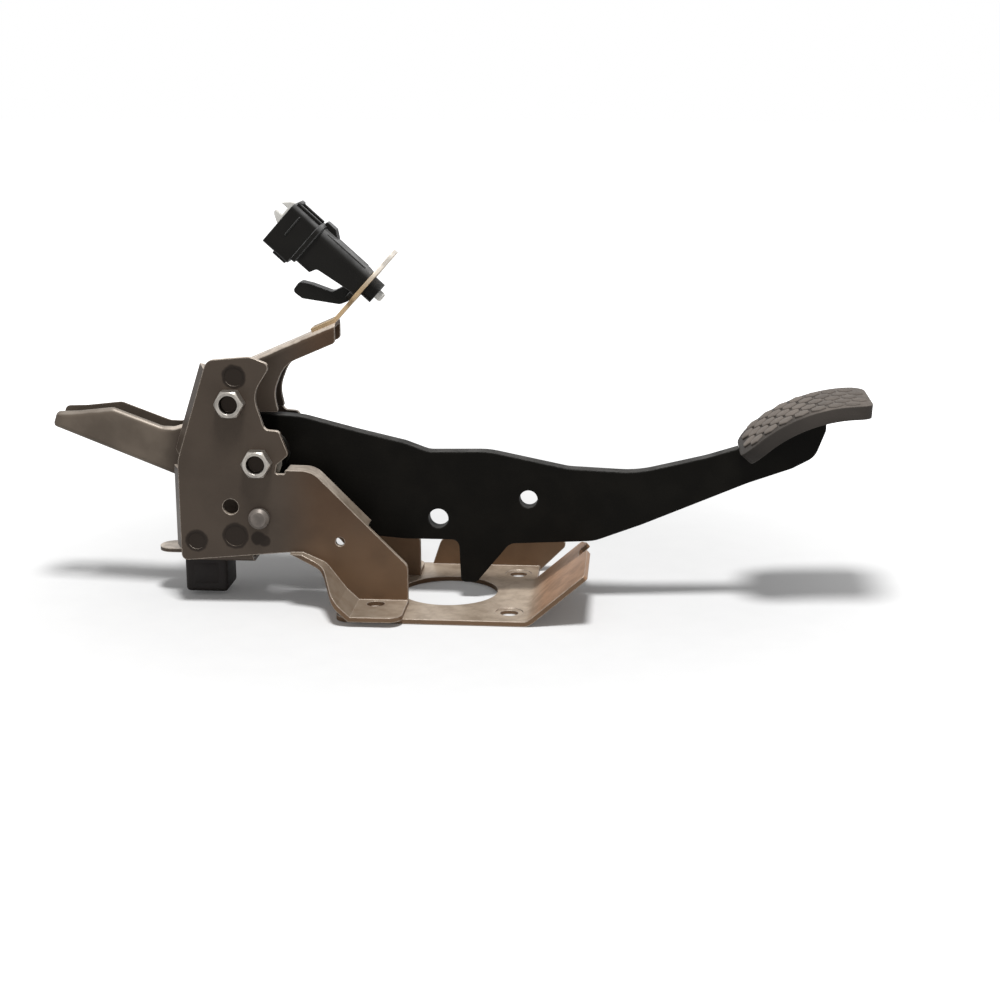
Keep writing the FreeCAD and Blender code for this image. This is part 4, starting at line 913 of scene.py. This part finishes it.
class PEDAL_OT_weld_beads(bpy.types.Operator):
    """Weld beads of the pedal and the bracket"""
    bl_idname = "brake_pedal.weld_beads"
    bl_label = "Weld beads"

    def execute(self, context):
        trim = context.scene.pedal_trim
        bead = trim.bead
        pad = context.scene.pedal_pad
        half_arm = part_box("pedal_arm")[1][1]
        tube_low, tube_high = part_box("pivot_tube")
        hub = ((tube_low[0] + tube_high[0]) / 2, (tube_low[2] + tube_high[2]) / 2)
        tube = (tube_high[2] - tube_low[2]) / 2
        rings = [self.arc((hub[0], side * half_arm, hub[1]), tube, bead, None) for side in (-1, 1)]
        ring = self.roughen(join(rings))
        settle(ring, "tube_welds", "pedal", bpy.data.materials["Arm Paint"])
        under = pad.radius - pad.thickness - pad.skirt
        seam_span = (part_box("pad_plate")[0][0] + SEAM_FROM_HEEL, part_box("pedal_arm")[1][0] - SEAM_FROM_END)
        seams = [self.arc((pad.crown_x, side * half_arm, pad.crown_z - pad.radius), under, bead, seam_span)
                 for side in (-1, 1)]
        seam = self.roughen(join(seams))
        settle(seam, "pad_welds", "pedal", bpy.data.materials["Arm Paint"])
        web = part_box("cross_web")[0][0]
        low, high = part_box("column_brace")
        runs = [self.run((web, side * high[1], low[2] + RUN_FROM_FLOOR), trim.brace_weld, bead)
                for side in (-1, 1)]
        run = self.roughen(join(runs))
        settle(run, "brace_welds", "bracket", bpy.data.materials["Bracket Steel"])
        return {"FINISHED"}

    def run(self, start, reach, bead):
        """Straight upright bead from its lower end."""
        deselect()
        middle = (start[0], start[1], start[2] + reach / 2)
        bpy.ops.mesh.primitive_cylinder_add(vertices=10, radius=bead, depth=reach, location=middle)
        run = bpy.context.object
        bake_place(run)
        edit("VERT")
        for step in range(1, RUN_STEPS):
            bpy.ops.mesh.select_all(action="SELECT")
            bpy.ops.mesh.bisect(plane_co=(0, 0, start[2] + reach * step / RUN_STEPS), plane_no=(0, 0, 1))
        done()
        return run

    def arc(self, centre, radius, bead, span):
        """Ring of weld about an axis along Y; a span keeps its upper part between two places."""
        deselect()
        bpy.ops.mesh.primitive_torus_add(major_radius=radius, minor_radius=bead,
                                         major_segments=int(radius / BEAD_STEP), minor_segments=10,
                                         location=centre, rotation=(math.radians(90), 0, 0))
        ring = bpy.context.object
        bake_place(ring)
        if span:
            edit("VERT")
            for place, way in ((span[0], -1), (span[1], 1)):
                bpy.ops.mesh.select_all(action="SELECT")
                bpy.ops.mesh.bisect(plane_co=(place, 0, 0), plane_no=(way, 0, 0), clear_outer=True,
                                    use_fill=True)
            bpy.ops.mesh.select_all(action="SELECT")
            bpy.ops.mesh.bisect(plane_co=centre, plane_no=(0, 0, -1), clear_outer=True, use_fill=True)
            done()
        return ring

    def roughen(self, bead):
        """Uneven surface of a hand-laid bead."""
        lumps = bpy.data.textures.new("weld_lumps", "CLOUDS")
        lumps.noise_scale = 2.2 * MM
        modify(bead, "DISPLACE", texture=lumps, texture_coords="LOCAL", strength=0.9 * MM, mid_level=0.55)
        clean(bead, 60)
        return bead


THREAD_LEAN = math.radians(3)  # slope of a turn


class PEDAL_OT_bolt_threads(bpy.types.Operator):
    """Threads on the bolt ends beyond their nuts"""
    bl_idname = "brake_pedal.bolt_threads"
    bl_label = "Bolt threads"

    def execute(self, context):
        size = context.scene.pedal_trim
        turns = []
        for bolt, nut in (("pivot_bolt", "pivot_nut"), ("clamp_bolt", "clamp_nut")):
            low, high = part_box(bolt)
            middle = ((low[0] + high[0]) / 2, (low[2] + high[2]) / 2)
            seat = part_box(nut)[1][1]
            count = int((high[1] - seat) / size.thread_pitch)
            for turn in range(count):
                y = seat + (turn + 0.5) * size.thread_pitch
                deselect()
                bpy.ops.mesh.primitive_torus_add(major_radius=size.thread_radius - size.thread_sink,
                                                 minor_radius=size.thread_ridge,
                                                 major_segments=40, minor_segments=6,
                                                 location=(middle[0], y, middle[1]),
                                                 rotation=(math.radians(90), 0, THREAD_LEAN))
                ring = context.object
                bake_place(ring)
                turns.append(ring)
        threads = join(turns)
        clean(threads, 30)
        settle(threads, "bolt_threads", "bracket", bpy.data.materials["Zinc Plate"])
        return {"FINISHED"}


# Mouldings of the switch: middle and extent, in millimetres across, sideways and along its axis from the tab.
BARREL_RAIL = ((5.6, 4.6, 17.0), (2.6, 2.2, 25.0))
CAP_RAIL = ((7.6, 4.0, 42.5), (1.8, 1.6, 15.0))
CAP_SEAM = ((-1.5, 8.9, 44.5), (12.0, 1.2, 0.9))
CAP_BRIDGE = ((8.2, 0.0, 49.0), (1.8, 9.4, 2.2))
CAP_HEEL = ((-17.0, 0.0, 40.0), (4.6, 9.0, 8.0))
CAP_LATCH = ((-16.6, 0.0, 47.5), (2.4, 6.0, 4.0))


class PEDAL_OT_switch_ribs(bpy.types.Operator):
    """Moulded rails, seams and latch of the stop-lamp switch"""
    bl_idname = "brake_pedal.switch_ribs"
    bl_label = "Switch ribs"

    def execute(self, context):
        size = context.scene.pedal_trim
        ribs = []
        for side in (-1, 1):
            for (across, aside, along), extent in (BARREL_RAIL, CAP_RAIL, CAP_SEAM):
                ribs.append(self.rib((across, side * aside, along), extent, size.rib_edge))
        for middle, extent in (CAP_BRIDGE, CAP_HEEL, CAP_LATCH):
            ribs.append(self.rib(middle, extent, size.rib_edge))
        trim = join(ribs)
        trim.rotation_euler = (0, -size.switch_lean, 0)
        trim.location = size.switch_seat
        bake_place(trim)
        clean(trim, 45)
        settle(trim, "switch_ribs", "bracket", bpy.data.materials["Switch Plastic"])
        return {"FINISHED"}

    @staticmethod
    def rib(middle, extent, edge):
        """One rounded rib, before the switch leans."""
        deselect()
        bpy.ops.mesh.primitive_cube_add(size=1.0, location=[c * MM for c in middle])
        rib = bpy.context.object
        rib.scale = [c * MM for c in extent]
        bake_place(rib)
        round_edges(rib, edge, 30)
        return rib


class PEDAL_PT_parts(bpy.types.Panel):
    """Lists the steps that dress the pedal"""
    bl_label = "Brake Pedal"
    bl_idname = "PEDAL_PT_parts"
    bl_space_type = "VIEW_3D"
    bl_region_type = "UI"
    bl_category = "Pedal"

    def draw(self, context):
        for operator in OPERATORS:
            self.layout.operator(operator.bl_idname)


GROUPS = {"pedal_pad": PadSizes, "pedal_trim": TrimSizes, "pedal_colours": FinishColours,
          "pedal_stage": StageSettings}
OPERATORS = [PEDAL_OT_finishes, PEDAL_OT_stage, PEDAL_OT_pad_cover, PEDAL_OT_buffer_block,
             PEDAL_OT_weld_beads, PEDAL_OT_bolt_threads, PEDAL_OT_switch_ribs]


def register():
    """Registers the classes and hangs the sizes on the scene."""
    for item in list(GROUPS.values()) + OPERATORS + [PEDAL_PT_parts]:
        bpy.utils.register_class(item)
    for name, group in GROUPS.items():
        setattr(bpy.types.Scene, name, bpy.props.PointerProperty(type=group))


def unregister():
    """Takes the classes away again."""
    for name in GROUPS:
        delattr(bpy.types.Scene, name)
    for item in [PEDAL_PT_parts] + OPERATORS[::-1] + list(GROUPS.values())[::-1]:
        bpy.utils.unregister_class(item)


def main():
    """Dresses the part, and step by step."""
    register()
    bpy.ops.brake_pedal.finishes()
    bpy.ops.brake_pedal.stage()
    bpy.ops.brake_pedal.pad_cover()
    bpy.ops.brake_pedal.buffer_block()
    bpy.ops.brake_pedal.weld_beads()
    bpy.ops.brake_pedal.bolt_threads()
    bpy.ops.brake_pedal.switch_ribs()


if __name__ == "__main__":
    main()
